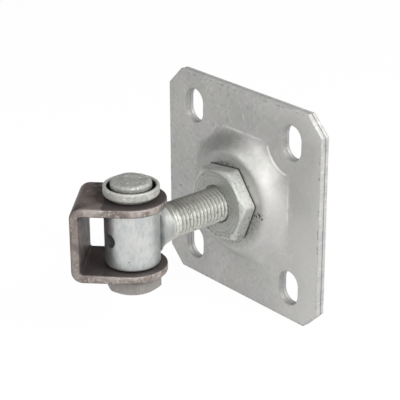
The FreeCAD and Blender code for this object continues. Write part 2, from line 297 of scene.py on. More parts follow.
class Draft:
    """Mesh in the making: grids of points joined by quads, each with the number of its finish."""

    def __init__(self) -> None:
        """Start with no points."""
        self.points: list[Array] = []
        self.quads: list[Array] = []
        self.finishes: list[Array] = []
        self.count = 0

    @classmethod
    def of(cls, points: Array) -> "Draft":
        """Draft of one surface that closes round its axis.

        Args:
            points: Rows by columns by three, in millimetres.

        Returns:
            The new draft.
        """
        draft = cls()
        draft.grid(points, closed=True)
        return draft

    def grid(self, points: Array, closed: bool = False, finish: int = 0) -> None:
        """Add a grid of points.

        Args:
            points: Rows by columns by three, in millimetres.
            closed: Whether the last column joins the first.
            finish: Number of the finish on these faces.
        """
        rows, columns = points.shape[:2]
        index = self.count + np.arange(rows * columns).reshape(rows, columns)
        if closed:
            index = np.concatenate([index, index[:, :1]], axis=1)
        quads = np.stack([index[:-1, :-1], index[:-1, 1:], index[1:, 1:], index[1:, :-1]], axis=-1)
        quads = quads.reshape(-1, 4)
        self.points.append(points.reshape(-1, 3))
        self.quads.append(quads)
        self.finishes.append(np.full(len(quads), finish))
        self.count += rows * columns

    def piece(self, name: str, materials: list[bpy.types.Material]) -> bpy.types.Object:
        """Make the mesh, with doubles merged, faces outwards and creases sharp.

        Args:
            name: Name of the piece.
            materials: Finishes by number.

        Returns:
            The new object.
        """
        mesh = bpy.data.meshes.new(name)
        points, quads = np.concatenate(self.points) * MM, np.concatenate(self.quads)
        mesh.from_pydata(points.tolist(), [], quads.tolist())
        mesh.polygons.foreach_set("material_index", np.concatenate(self.finishes).astype(np.int32))
        for material in materials:
            mesh.materials.append(material)
        tidy_mesh(mesh)
        soften(mesh)
        piece = bpy.data.objects.new(name, mesh)
        bpy.context.scene.collection.objects.link(piece)
        return piece


def tidy_mesh(mesh: bpy.types.Mesh) -> None:
    """Merge a mesh's doubles and turn its faces outwards.

    Args:
        mesh: The mesh, which is changed.
    """
    work = bmesh.new()
    work.from_mesh(mesh)
    bmesh.ops.remove_doubles(work, verts=work.verts, dist=MERGE_DISTANCE)
    bmesh.ops.recalc_face_normals(work, faces=work.faces)
    work.to_mesh(mesh)
    work.free()


def soften(mesh: bpy.types.Mesh) -> None:
    """Shade a mesh smooth, apart from its creases."""
    mesh.shade_smooth()
    mesh.set_sharp_from_angle(angle=math.radians(CREASE_DEG))


def combine(piece: bpy.types.Object, tool: bpy.types.Object, job: Job) -> None:
    """Join a closed mesh to another, or cut it out, and drop the tool.

    Args:
        piece: The mesh that stays.
        tool: The mesh that is joined or cut out.
        job: Which of the two.
    """
    change = piece.modifiers.new(job.value.lower(), "BOOLEAN")
    change.operation = job.value
    change.solver = "EXACT"
    change.object = tool
    graph = bpy.context.evaluated_depsgraph_get()
    mesh = bpy.data.meshes.new_from_object(piece.evaluated_get(graph))
    piece.modifiers.clear()
    piece.data = mesh
    bpy.data.objects.remove(tool)
    soften(mesh)


@dataclass(frozen=True)
class Fade:
    """Soft step: nothing at low and share at high, where low may be the larger."""

    low: float
    high: float
    share: float = 1.0


@dataclass(frozen=True)
class Mottle:
    """Cloudy pattern and the soft step that cuts it.

    Its clouds have a size in millimetres, octaves of finer detail, a shift that makes one pattern unlike
    another, a stretch along each axis, and a turn about the stem before they are stretched.
    """

    size: float
    fade: Fade = Fade(0.0, 1.0)
    detail: float = 3.0
    shift: float = 0.0
    stretch: Triple = EVEN
    turn_deg: float = 0.0


class NodeGraph:
    """Material under construction, with its patterns on the piece's own coordinates in millimetres."""

    def __init__(self, name: str) -> None:
        """Start a material with its shader and its coordinates.

        Args:
            name: Name of the material.
        """
        self.material = bpy.data.materials.new(name)
        self.material.use_nodes = True
        self.tree = self.material.node_tree
        self.shader = self.tree.nodes["Principled BSDF"]
        coordinates = self.tree.nodes.new("ShaderNodeTexCoord")
        self.place = self.mapped(coordinates.outputs["Object"], (1 / MM, 1 / MM, 1 / MM))

    def put(self, value: object, socket: Socket) -> None:
        """Link a socket to an input, or set a plain value on it.

        Args:
            value: Socket, number or colour.
            socket: The input.
        """
        if isinstance(value, Socket):
            self.tree.links.new(value, socket)
        elif isinstance(value, tuple) and socket.type == "RGBA":
            socket.default_value = (*value, 1.0)
        else:
            socket.default_value = value

    def mapped(self, source: Socket, scale: Triple, shift: Triple = (0.0, 0.0, 0.0),
               turn_deg: Triple = (0.0, 0.0, 0.0)) -> Socket:
        """Coordinates scaled, turned and shifted.

        Args:
            source: Coordinates to start from.
            scale: Factor along each axis.
            shift: Shift after that.
            turn_deg: Turn about each axis.

        Returns:
            Socket with the new coordinates.
        """
        node = self.tree.nodes.new("ShaderNodeMapping")
        self.put(source, node.inputs["Vector"])
        node.inputs["Scale"].default_value = scale
        node.inputs["Location"].default_value = shift
        node.inputs["Rotation"].default_value = tuple(math.radians(turn) for turn in turn_deg)
        return node.outputs["Vector"]

    def noise(self, pattern: Mottle) -> Socket:
        """Cloudy pattern before it is cut.

        Args:
            pattern: The pattern.

        Returns:
            Socket with values around one half.
        """
        place = self.place
        if pattern.turn_deg:
            place = self.mapped(place, EVEN, turn_deg=(0.0, pattern.turn_deg, 0.0))
        scale = tuple(1.0 / (pattern.size * factor) for factor in pattern.stretch)
        node = self.tree.nodes.new("ShaderNodeTexNoise")
        self.put(self.mapped(place, scale, (pattern.shift,) * 3), node.inputs["Vector"])
        node.inputs["Scale"].default_value = 1.0
        node.inputs["Detail"].default_value = pattern.detail
        return node.outputs["Fac"]

    def ramp(self, value: Socket, fade: Fade) -> Socket:
        """Soft step of a value.

        Args:
            value: Socket to read.
            fade: The step.

        Returns:
            Socket with a share.
        """
        node = self.tree.nodes.new("ShaderNodeMapRange")
        node.interpolation_type = "SMOOTHSTEP"
        self.put(value, node.inputs["Value"])
        rising = fade.low < fade.high
        node.inputs["From Min"].default_value = min(fade.low, fade.high)
        node.inputs["From Max"].default_value = max(fade.low, fade.high)
        node.inputs["To Min"].default_value = 0.0 if rising else fade.share
        node.inputs["To Max"].default_value = fade.share if rising else 0.0
        return node.outputs["Result"]

    def mottle(self, pattern: Mottle) -> Socket:
        """Share of a cloudy pattern, cut by its soft step."""
        return self.ramp(self.noise(pattern), pattern.fade)

    def math(self, operation: str, *values: object) -> Socket:
        """One sum on sockets or numbers.

        Args:
            operation: Blender's name of the sum.
            values: Sockets or numbers, in the order of the sum.

        Returns:
            Socket with the result.
        """
        node = self.tree.nodes.new("ShaderNodeMath")
        node.operation = operation
        for value, socket in zip(values, node.inputs):
            self.put(value, socket)
        return node.outputs["Value"]

    def product(self, first: Socket, *others: object) -> Socket:
        """Shares multiplied in turn.

        Args:
            first: First socket.
            others: Sockets or numbers that it is multiplied by.

        Returns:
            Socket with the product.
        """
        result = first
        for other in others:
            result = self.math("MULTIPLY", result, other)
        return result

    def uneven(self, pattern: Mottle, middle: float, spread: float) -> Socket:
        """Value that varies about a middle by a cloudy pattern, over a spread."""
        return self.math("MULTIPLY_ADD", self.noise(pattern), spread, middle - spread / 2.0)

    def tint(self, share: object, under: object, over: object) -> Socket:
        """Colour laid over another by a share.

        Args:
            share: Socket or number from nothing to one.
            under: Socket or colour below.
            over: Socket or colour on top.

        Returns:
            Socket with the colour.
        """
        node = self.tree.nodes.new("ShaderNodeMix")
        node.data_type = "RGBA"
        self.put(share, node.inputs["Factor"])
        self.put(under, node.inputs[MIX_UNDER])
        self.put(over, node.inputs[MIX_OVER])
        return node.outputs[MIX_RESULT]

    def axis(self, letter: str) -> Socket:
        """One of the piece's own coordinates, in millimetres.

        Args:
            letter: X, Y or Z.

        Returns:
            Socket with the coordinate.
        """
        node = self.tree.nodes.new("ShaderNodeSeparateXYZ")
        self.put(self.place, node.inputs["Vector"])
        return node.outputs[letter]

    def reach(self, axis: Axis, centre_y: float = 0.0) -> Socket:
        """Distance from an axis, in millimetres.

        Args:
            axis: The axis.
            centre_y: Place of the pivot pin's axis along y.

        Returns:
            Socket with the distance.
        """
        other = self.axis("Z") if axis is Axis.STEM else self.math("SUBTRACT", self.axis("Y"), centre_y)
        squares = [self.product(side, side) for side in (self.axis("X"), other)]
        return self.math("SQRT", self.math("ADD", *squares))

    def rings(self, reach: Socket, size: float) -> Socket:
        """Uneven rings, as a cutting tool leaves them on a turned face.

        Args:
            reach: Socket with the distance from the axis.
            size: Width of a ring in millimetres.

        Returns:
            Socket with values around one half.
        """
        node = self.tree.nodes.new("ShaderNodeTexNoise")
        node.noise_dimensions = "1D"
        self.put(reach, node.inputs["W"])
        node.inputs["Scale"].default_value = 1.0 / size
        return node.outputs["Fac"]

    def relief(self, height: Socket, depth_mm: float) -> None:
        """Rough the surface by a height pattern.

        Args:
            height: Socket with the pattern.
            depth_mm: Its depth in millimetres.
        """
        node = self.tree.nodes.new("ShaderNodeBump")
        node.inputs["Strength"].default_value = 1.0
        node.inputs["Distance"].default_value = depth_mm * MM
        self.put(height, node.inputs["Height"])
        self.put(node.outputs["Normal"], self.shader.inputs["Normal"])

    def finish(self, colour: object, roughness: object, metallic: float) -> bpy.types.Material:
        """Set the shader.

        Args:
            colour: Socket or colour.
            roughness: Socket or number.
            metallic: Share of bare metal.

        Returns:
            The material.
        """
        self.put(colour, self.shader.inputs["Base Color"])
        self.put(roughness, self.shader.inputs["Roughness"])
        self.shader.inputs["Metallic"].default_value = metallic
        return self.material


@dataclass(frozen=True)
class ZincFinish:
    """Dull zinc coat: clouds of two tints, fine grain, dark specks and faint relief."""

    name: str
    base: Colour
    warm: Colour
    cool: Colour
    dark: Colour = (0.07, 0.07, 0.07)
    bright: Colour = (0.8, 0.8, 0.79)
    cloud: float = 16.0
    grain: float = 1.4
    grain_depth: float = 0.32
    streak: Triple = EVEN
    specks: float = 0.4
    roughness: float = 0.5
    unevenness: float = 0.24
    metallic: float = 0.85
    relief: float = 0.05

    @property
    def clouds(self) -> Mottle:
        """Wide clouds of the warm tint."""
        return Mottle(self.cloud, Fade(0.38, 0.66), detail=4.0)

    @property
    def cool_clouds(self) -> Mottle:
        """Smaller clouds of the cool tint."""
        return Mottle(0.6 * self.cloud, Fade(0.46, 0.7, 0.8), detail=4.0, shift=31.0)

    @property
    def dark_grain(self) -> Mottle:
        """Fine dark grain, which also makes the relief."""
        return Mottle(self.grain, Fade(0.5, 0.8, self.grain_depth), 3.0, 7.0, self.streak)

    @property
    def bright_grain(self) -> Mottle:
        """Fine glints between the dark grain."""
        return Mottle(1.3 * self.grain, Fade(0.52, 0.8, self.grain_depth), 2.0, 53.0, self.streak)

    @property
    def dark_specks(self) -> Mottle:
        """Few small dark specks."""
        return Mottle(1.9, Fade(0.74, 0.78, self.specks), detail=1.0, shift=83.0)

    @property
    def dull_patches(self) -> Mottle:
        """Patches that are duller or glossier than the rest."""
        return Mottle(0.4 * self.cloud, shift=17.0)

    def colour(self, graph: NodeGraph) -> Socket:
        """Zinc's colour over the whole piece.

        Args:
            graph: Material to draw it in.

        Returns:
            Socket with the colour.
        """
        colour = graph.tint(graph.mottle(self.clouds), self.base, self.warm)
        colour = graph.tint(graph.mottle(self.cool_clouds), colour, self.cool)
        colour = graph.tint(graph.mottle(self.dark_grain), colour, self.dark)
        colour = graph.tint(graph.mottle(self.bright_grain), colour, self.bright)
        return graph.tint(graph.mottle(self.dark_specks), colour, self.dark)

    def dirt_and_painted_light(self, graph: NodeGraph, colour: Socket) -> Socket:
        """Dirt, wear, painted light and painted shade of one piece; a plain coat has none."""
        return colour

    def material(self) -> bpy.types.Material:
        """Build the material.

        Returns:
            The material.
        """
        graph = NodeGraph(self.name)
        colour = self.dirt_and_painted_light(graph, self.colour(graph))
        roughness = graph.uneven(self.dull_patches, self.roughness, self.unevenness)
        graph.relief(graph.noise(self.dark_grain), self.relief)
        return graph.finish(colour, roughness, self.metallic)


@dataclass(frozen=True)
class PlateFinish(ZincFinish):
    """Zinc on the pressed plates: scratches, dirt round the nut and nicks on the rim, with painted light and
    shade: shade above the nut, a shadow line along its flats, light on the dome's right slope and the plate's
    right side, and a highlight along the dome's foot.
    """

    on_dome: Fade = Fade(-10.0, -12.0)
    on_front: Fade = Fade(-4.4, -4.52)
    scratches: tuple[Mottle, ...] = tuple(
        Mottle(0.55, Fade(0.66, 0.74, 0.35), 1.0, shift, (1.0, 1.0, 26.0), turn)
        for turn, shift in ((24.0, 61.0), (-38.0, 67.0), (71.0, 71.0)))
    scratched: Colour = (0.62, 0.61, 0.60)
    ring_outside: Fade = Fade(23.5, 18.0)
    ring_inside: Fade = Fade(11.0, 15.0)
    ring_height: Fade = Fade(6.0, -4.0)
    smears: Mottle = Mottle(1.2, Fade(0.46, 0.62, 0.85), detail=4.0, shift=5.0)
    residue_share: float = 0.7
    residue: Colour = (0.06, 0.06, 0.058)
    haze_share: float = 0.14
    haze: Colour = (0.16, 0.165, 0.155)
    # Painted shade on the dome's top, above the nut and to its left.
    shade_reach: Fade = Fade(26.0, 21.0)
    shade_side: Fade = Fade(-8.0, 20.0, 0.3)
    shade: Colour = (0.17, 0.17, 0.168)
    # Grime in patches at the nut's foot, with painted shade where the nut meets the dome.
    grime_reach: Fade = Fade(18.8, 16.5)
    grime_patches: Mottle = Mottle(2.2, Fade(0.46, 0.6, 0.8), shift=47.0)
    grime_and_shade: Colour = (0.05, 0.05, 0.05)
    nut_flats_deg: tuple[float, ...] = tuple(NUT_TURN_DEG + turn for turn in (30.0, 90.0, 150.0))
    nut_flat: float = NUT_ACROSS_FLATS / 2.0
    # Painted shadow in a thin line along the nut's flats.
    gap_shadow_width: Fade = Fade(0.75, 0.1, 0.85)
    gap_shadow: Colour = (0.04, 0.04, 0.04)
    smudge_centre: tuple[float, float] = (20.5, -1.5)
    smudge_half: tuple[float, float] = (4.5, 2.4)
    smudge_edge: Fade = Fade(1.0, 0.1)
    smudge_smears: Fade = Fade(0.1, 0.5, 0.9)
    smudge: Colour = (0.03, 0.03, 0.03)
    # Painted light on the dome's slope, to the right and below.
    slope_foot: Fade = Fade(-4.7, -6.0)
    slope_top: Fade = Fade(-12.0, -10.8, 0.3)
    lit_slope_right: Fade = Fade(-22.0, 16.0)
    lit_slope_low: Fade = Fade(28.0, 2.0)
    lit_slope: Colour = (0.62, 0.615, 0.605)
    # Painted light that grows towards the plate's right side.
    lit_right_side: Fade = Fade(-8.0, 50.0, 0.64)
    lighter: Colour = (0.56, 0.555, 0.54)
    # Painted highlight in a thin line along the dome's foot crease, at the upper right.
    foot_half: float = FOOT_WIDTH / 2.0
    slot_centre: tuple[float, float] = SLOT_CENTRE
    scallop_radius: float = SCALLOP_RADIUS
    line_inside: float = 0.4
    line_width: Fade = Fade(0.7, 0.1)
    line_breaks: Mottle = Mottle(9.0, Fade(0.42, 0.60, 0.4), detail=2.0, shift=37.0)
    line_on_scallop: Fade = Fade(0.5, 2.5, 0.9)
    line_corner: Fade = Fade(0.0, 30.0)
    line: Colour = (0.80, 0.79, 0.78)
    rim_edge: Fade = Fade(48.4, 49.7)
    nick_spots: Mottle = Mottle(1.8, Fade(0.54, 0.66, 0.75), detail=2.0, shift=11.0)
    nick: Colour = (0.1, 0.1, 0.1)

    def dirt_and_painted_light(self, graph: NodeGraph, colour: Socket) -> Socket:
        """Lay scratches, dirt, wear, painted light and painted shade over the zinc.

        Args:
            graph: Material to draw them in.
            colour: Socket with the clean colour.

        Returns:
            Socket with the colour under these marks.
        """
        for scratches in self.scratches:
            colour = graph.tint(graph.mottle(scratches), colour, self.scratched)
        on_dome = graph.ramp(graph.axis("Y"), self.on_dome)
        smears = graph.mottle(self.smears)
        # Residue and haze below the nut; painted shade above it on the left.
        colour = self.greased_and_shaded(graph, colour, on_dome, smears)
        # Painted light on the dome's right and lower slope.
        colour = self.slope_light(graph, colour)
        # Grime with painted shade at the nut's foot, and the painted shadow line along its flats.
        colour = self.grime_and_gap_shadow(graph, colour, on_dome)
        # Painted light towards the plate's right side.
        colour = graph.tint(graph.ramp(graph.axis("X"), self.lit_right_side), colour, self.lighter)
        colour = graph.tint(self.smudged(graph, on_dome, smears), colour, self.smudge)
        sides = [graph.math("ABSOLUTE", graph.axis(letter)) for letter in "XZ"]
        # Painted highlight along the dome's foot crease.
        colour = graph.tint(self.crease_highlight(graph, sides), colour, self.line)
        rim = graph.ramp(graph.math("MAXIMUM", *sides), self.rim_edge)
        return graph.tint(graph.product(rim, graph.mottle(self.nick_spots)), colour, self.nick)

    def greased_and_shaded(self, graph: NodeGraph, colour: Socket, on_dome: Socket, smears: Socket) -> Socket:
        """Residue and haze in a ring below the nut, and painted shade above it on the left.

        Args:
            graph: Material to draw them in.
            colour: Socket with the colour below.
            on_dome: Socket with the share on the dome's top.
            smears: Socket with the smears' share.

        Returns:
            Socket with the greasy colour, with the painted shade.
        """
        reach = graph.reach(Axis.STEM)
        ring = graph.product(graph.ramp(reach, self.ring_outside), graph.ramp(reach, self.ring_inside))
        below = graph.product(graph.ramp(graph.axis("Z"), self.ring_height), on_dome)
        residue = graph.product(ring, below, smears, self.residue_share)
        colour = graph.tint(residue, colour, self.residue)
        colour = graph.tint(graph.product(ring, below, self.haze_share), colour, self.haze)
        # Painted shade above the nut, on the left.
        above_left = graph.math("SUBTRACT", graph.axis("Z"), graph.axis("X"))
        side = graph.ramp(above_left, self.shade_side)
        shade = graph.product(side, graph.ramp(reach, self.shade_reach), on_dome)
        return graph.tint(shade, colour, self.shade)

    def slope_light(self, graph: NodeGraph, colour: Socket) -> Socket:
        """Painted light on the dome's slope, to the right and below.

        Args:
            graph: Material to draw it in.
            colour: Socket with the colour below.

        Returns:
            Socket with the colour under the painted light.
        """
        depth = graph.axis("Y")
        slope = graph.product(graph.ramp(depth, self.slope_foot), graph.ramp(depth, self.slope_top))
        right = graph.ramp(graph.axis("X"), self.lit_slope_right)
        low = graph.ramp(graph.axis("Z"), self.lit_slope_low)
        return graph.tint(graph.product(slope, right, low), colour, self.lit_slope)

    def grime_and_gap_shadow(self, graph: NodeGraph, colour: Socket, on_dome: Socket) -> Socket:
        """Grime with painted shade at the nut's foot, and a painted shadow line along its flats.

        Args:
            graph: Material to draw them in.
            colour: Socket with the colour below.
            on_dome: Socket with the share on the dome's top.

        Returns:
            Socket with the colour under these marks.
        """
        near = graph.ramp(graph.reach(Axis.STEM), self.grime_reach)
        grime_and_shade = graph.product(near, graph.mottle(self.grime_patches), on_dome)
        colour = graph.tint(grime_and_shade, colour, self.grime_and_shade)
        # Painted shadow where the nut's flats meet the dome.
        gap_shadow = graph.ramp(self.from_nut(graph), self.gap_shadow_width)
        return graph.tint(graph.product(gap_shadow, on_dome), colour, self.gap_shadow)

    def smudged(self, graph: NodeGraph, on_dome: Socket, smears: Socket) -> Socket:
        """Share of the black smudge beside the nut, in an ellipse broken by the smears.

        Args:
            graph: Material to draw it in.
            on_dome: Socket with the share on the dome's top.
            smears: Socket with the smears' share.

        Returns:
            Socket with the smudge's share.
        """
        spread = [graph.math("DIVIDE", graph.math("SUBTRACT", graph.axis(letter), middle), half)
                  for letter, middle, half in zip("XZ", self.smudge_centre, self.smudge_half)]
        away = graph.math("ADD", *[graph.product(side, side) for side in spread])
        broken = graph.ramp(smears, self.smudge_smears)
        return graph.product(graph.ramp(away, self.smudge_edge), broken, on_dome)

    def from_nut(self, graph: NodeGraph) -> Socket:
        """Distance outside the nut's hexagon: the largest of the distances past its pairs of flats.

        Args:
            graph: Material to work it out in.

        Returns:
            Socket with the distance in millimetres.
        """
        furthest = 0.0
        for turn in np.radians(self.nut_flats_deg):
            across = graph.product(graph.axis("X"), float(np.cos(turn)))
            up = graph.product(graph.axis("Z"), float(np.sin(turn)))
            past = graph.math("ABSOLUTE", graph.math("ADD", across, up))
            furthest = graph.math("MAXIMUM", past, furthest)
        return graph.math("SUBTRACT", furthest, self.nut_flat)

    def crease_highlight(self, graph: NodeGraph, sides: list[Socket]) -> Socket:
        """Painted highlight in a thin line along the dome's foot crease, at the upper right.

        The distance to the foot is the smaller of the distance to the square's side and the distance to the
        scallop about the slot.

        Args:
            graph: Material to draw it in.
            sides: Distances from the middle along x and z.

        Returns:
            Socket with the painted highlight's share.
        """
        from_square = graph.math("SUBTRACT", self.foot_half, graph.math("MAXIMUM", *sides))
        offsets = [graph.math("SUBTRACT", side, place) for side, place in zip(sides, self.slot_centre)]
        from_slot = graph.math("SQRT", graph.math("ADD", *[graph.product(side, side) for side in offsets]))
        from_scallop = graph.math("SUBTRACT", from_slot, self.scallop_radius)
        inside = graph.math("MINIMUM", from_square, from_scallop)
        away = graph.math("ABSOLUTE", graph.math("SUBTRACT", inside, self.line_inside))
        on_scallop = graph.ramp(graph.math("SUBTRACT", from_square, from_scallop), self.line_on_scallop)
        strength = graph.math("MAXIMUM", graph.mottle(self.line_breaks), on_scallop)
        on_front = graph.ramp(graph.axis("Y"), self.on_front)
        upper_right = graph.ramp(graph.math("ADD", graph.axis("X"), graph.axis("Z")), self.line_corner)
        return graph.product(graph.ramp(away, self.line_width), strength, on_front, upper_right)


@dataclass(frozen=True)
class RimFinish(ZincFinish):
    """Zinc on the cut rims of the two plates, with the dark seam where they lie on each other."""

    seam_y: float = -2.0
    seam_width: Fade = Fade(0.45, 0.1, 0.55)
    seam: Colour = (0.10, 0.10, 0.10)

    def dirt_and_painted_light(self, graph: NodeGraph, colour: Socket) -> Socket:
        """Lay the seam over the zinc.

        Args:
            graph: Material to draw it in.
            colour: Socket with the clean colour.

        Returns:
            Socket with the soiled colour.
        """
        away = graph.math("ABSOLUTE", graph.math("SUBTRACT", graph.axis("Y"), self.seam_y))
        return graph.tint(graph.ramp(away, self.seam_width), colour, self.seam)


@dataclass(frozen=True)
class NutFinish(ZincFinish):
    """Zinc on the nut: dull and ringed on its turned face, dust with painted shade above, dirty below, with
    worn dark chips.
    """

    face_depth: Fade = Fade(-19.08, -19.18, 0.8)
    face_reach: Fade = Fade(15.5, 15.1)
    ring_width: float = 0.9
    ring_marks: Fade = Fade(0.3, 0.7)
    dull_dark: Colour = (0.27, 0.28, 0.26)
    dull_light: Colour = (0.33, 0.335, 0.315)
    # Dust with painted shade towards the nut's top.
    dust_and_shade_height: Fade = Fade(10.0, 16.0, 0.35)
    dust_and_shade: Colour = (0.15, 0.15, 0.145)
    smear_height: Fade = Fade(-7.0, -14.0)
    smear_reach: Fade = Fade(11.4, 14.9)
    smears: Mottle = Mottle(1.5, Fade(0.46, 0.62, 0.7), detail=4.0, shift=59.0)
    smear: Colour = (0.10, 0.105, 0.095)
    chips: Mottle = Mottle(1.3, Fade(0.60, 0.68, 0.6), shift=29.0)
    chip: Colour = (0.12, 0.12, 0.11)

    def dirt_and_painted_light(self, graph: NodeGraph, colour: Socket) -> Socket:
        """Lay the dull face, dust with painted shade, smears and chips over the zinc.

        Args:
            graph: Material to draw them in.
            colour: Socket with the clean colour.

        Returns:
            Socket with the colour under these marks.
        """
        reach = graph.reach(Axis.STEM)
        height = graph.axis("Z")
        depth = graph.ramp(graph.axis("Y"), self.face_depth)
        on_face = graph.product(depth, graph.ramp(reach, self.face_reach))
        rings = graph.ramp(graph.rings(reach, self.ring_width), self.ring_marks)
        colour = graph.tint(on_face, colour, graph.tint(rings, self.dull_dark, self.dull_light))
        # Dust with painted shade towards the top.
        colour = graph.tint(graph.ramp(height, self.dust_and_shade_height), colour, self.dust_and_shade)
        low = graph.product(graph.ramp(height, self.smear_height), graph.ramp(reach, self.smear_reach))
        colour = graph.tint(graph.product(low, graph.mottle(self.smears)), colour, self.smear)
        return graph.tint(graph.mottle(self.chips), colour, self.chip)


@dataclass(frozen=True)
class EyeFinish(ZincFinish):
    """Zinc on the eye's barrel and neck, dark with grease inside the grease hole."""

    hole_reach: Fade = Fade(3.1, 2.95, 0.55)
    hole_depth: Fade = Fade(-60.0, -62.0)
    grease: Colour = (0.05, 0.055, 0.05)

    def dirt_and_painted_light(self, graph: NodeGraph, colour: Socket) -> Socket:
        """Lay the grease of the hole over the zinc.

        Args:
            graph: Material to draw it in.
            colour: Socket with the clean colour.

        Returns:
            Socket with the soiled colour.
        """
        within = graph.ramp(graph.reach(Axis.STEM), self.hole_reach)
        in_front = graph.ramp(graph.axis("Y"), self.hole_depth)
        return graph.tint(graph.product(within, in_front), colour, self.grease)


@dataclass(frozen=True)
class ThreadFinish(ZincFinish):
    """Greasy zinc on the thread: grime and painted shade in the roots, dark drips, and dust with painted
    shade on the upper side.
    """

    # Grime and painted shade in the thread's roots.
    root_grime_and_shade_reach: Fade = Fade(7.6, 7.0, 0.6)
    root: Colour = (0.13, 0.13, 0.115)
    # Dust with painted shade on the upper side.
    dust_and_shade_height: Fade = Fade(1.5, 7.5, 0.85)
    dust_and_shade: Colour = (0.17, 0.17, 0.15)
    drips: Mottle = Mottle(1.3, Fade(0.58, 0.66, 0.55), shift=19.0)
    drip: Colour = (0.10, 0.10, 0.09)

    def dirt_and_painted_light(self, graph: NodeGraph, colour: Socket) -> Socket:
        """Lay the roots' grime and painted shade, dust with painted shade, and drips over the zinc.

        Args:
            graph: Material to draw them in.
            colour: Socket with the clean colour.

        Returns:
            Socket with the colour under these marks.
        """
        # Grime and painted shade in the roots.
        colour = graph.tint(graph.ramp(graph.reach(Axis.STEM), self.root_grime_and_shade_reach), colour, self.root)
        # Dust with painted shade on the upper side.
        colour = graph.tint(graph.ramp(graph.axis("Z"), self.dust_and_shade_height), colour, self.dust_and_shade)
        return graph.tint(graph.mottle(self.drips), colour, self.drip)


@dataclass(frozen=True)
class RivetFinish(ZincFinish):
    """Zinc on the pin and its washer, black with grime and painted shade in the gap between them, browner on
    the lower head.
    """

    centre_y: float = PIN_Y
    # Grime and painted shade in the gap between the pin's end and the washer's rim.
    gap_top: Fade = Fade(22.8, 21.6)
    gap_floor: Fade = Fade(18.8, 19.2)
    gap_reach: Fade = Fade(10.9, 10.5)
    grime_and_shade: Colour = (0.02, 0.02, 0.02)
    head_height: Fade = Fade(-16.2, -17.7, 0.65)
    head: Colour = (0.235, 0.212, 0.198)

    def dirt_and_painted_light(self, graph: NodeGraph, colour: Socket) -> Socket:
        """Lay the grime with painted shade in the gap, and the head's tint, over the zinc.

        Args:
            graph: Material to draw them in.
            colour: Socket with the clean colour.

        Returns:
            Socket with the colour under these marks.
        """
        height = graph.axis("Z")
        below = graph.product(graph.ramp(height, self.gap_top), graph.ramp(height, self.gap_floor))
        within = graph.ramp(graph.reach(Axis.PIN, self.centre_y), self.gap_reach)
        # Grime and painted shade in the gap.
        colour = graph.tint(graph.product(below, within), colour, self.grime_and_shade)
        return graph.tint(graph.ramp(height, self.head_height), colour, self.head)


@dataclass(frozen=True)
class StripFinish:
    """Bare rolled strip: mill scale on the faces, or the lighter metal of its sheared edges.

    Faces carry painted shadow near the pin, under the washer and by the barrel, and painted shade on the
    ears' inner faces; edges are darker along the web.
    """

    name: str
    base: Colour
    worn: Colour
    dark: Colour
    worn_share: float
    worn_size: float
    roughness: float
    web_share: float = 0.0
    # Shares of painted shadow near the pin and of painted shade on the ears' inner faces.
    pin_shadow_share: float = 0.0
    inner_shade_share: float = 0.0
    rust: Colour = (0.17, 0.105, 0.075)
    rust_share: float = 0.35
    pivot_y: float = PIN_Y
    web_reach: tuple[float, float] = (16.5, 20.5)
    # Distances from the pin over which the painted shadow near it fades in.
    pin_shadow_reach: tuple[float, float] = (11.4, 10.6)
    # Painted shade on the ears' inner faces, below this height.
    inner_shade_top: Fade = Fade(13.6, 13.3)
    clouds: Mottle = Mottle(7.0, Fade(0.36, 0.68), detail=5.0)
    pits: Mottle = Mottle(0.6, Fade(0.56, 0.70, 0.65), shift=41.0)
    dull_patches: Mottle = Mottle(4.0, shift=3.0)
    unevenness: float = 0.3
    metallic: float = 0.55
    relief: float = 0.14

    @property
    def worn_patches(self) -> Mottle:
        """Patches worn to lighter metal."""
        return Mottle(self.worn_size, Fade(0.5, 0.70, self.worn_share), detail=4.0, shift=23.0)

    @property
    def rust_patches(self) -> Mottle:
        """Faint patches of rust."""
        return Mottle(4.5, Fade(0.52, 0.68, self.rust_share), detail=4.0, shift=73.0)

    @property
    def inner_shade_floor(self) -> Fade:
        """Fade of the painted shade from the middle of the web to the ears' inner faces."""
        return Fade(10.2, 12.9, self.inner_shade_share)

    def from_web(self, reach: tuple[float, float], share: float) -> Fade:
        """Fade between two distances from the pin, for x + y, which is root two times a distance."""
        return Fade(-math.sqrt(2.0) * reach[0], -math.sqrt(2.0) * reach[1], share)

    def material(self) -> bpy.types.Material:
        """Build the material.

        Returns:
            The material.
        """
        graph = NodeGraph(self.name)
        colour = graph.tint(graph.mottle(self.clouds), self.base, self.dark)
        colour = graph.tint(graph.mottle(self.worn_patches), colour, self.worn)
        colour = graph.tint(graph.mottle(self.rust_patches), colour, self.rust)
        outward = graph.math("ADD", graph.axis("X"), graph.math("SUBTRACT", graph.axis("Y"), self.pivot_y))
        # Edges darker along the web, and painted shadow near the pin.
        for reach, share in ((self.web_reach, self.web_share), (self.pin_shadow_reach, self.pin_shadow_share)):
            colour = graph.tint(graph.ramp(outward, self.from_web(reach, share)), colour, self.dark)
        # Painted shade on the ears' inner faces.
        height = graph.math("ABSOLUTE", graph.axis("Z"))
        inner = graph.product(graph.ramp(height, self.inner_shade_top), graph.ramp(height, self.inner_shade_floor))
        colour = graph.tint(inner, colour, self.dark)
        colour = graph.tint(graph.mottle(self.pits), colour, self.dark)
        roughness = graph.uneven(self.dull_patches, self.roughness, self.unevenness)
        graph.relief(graph.noise(self.pits), self.relief)
        return graph.finish(colour, roughness, self.metallic)


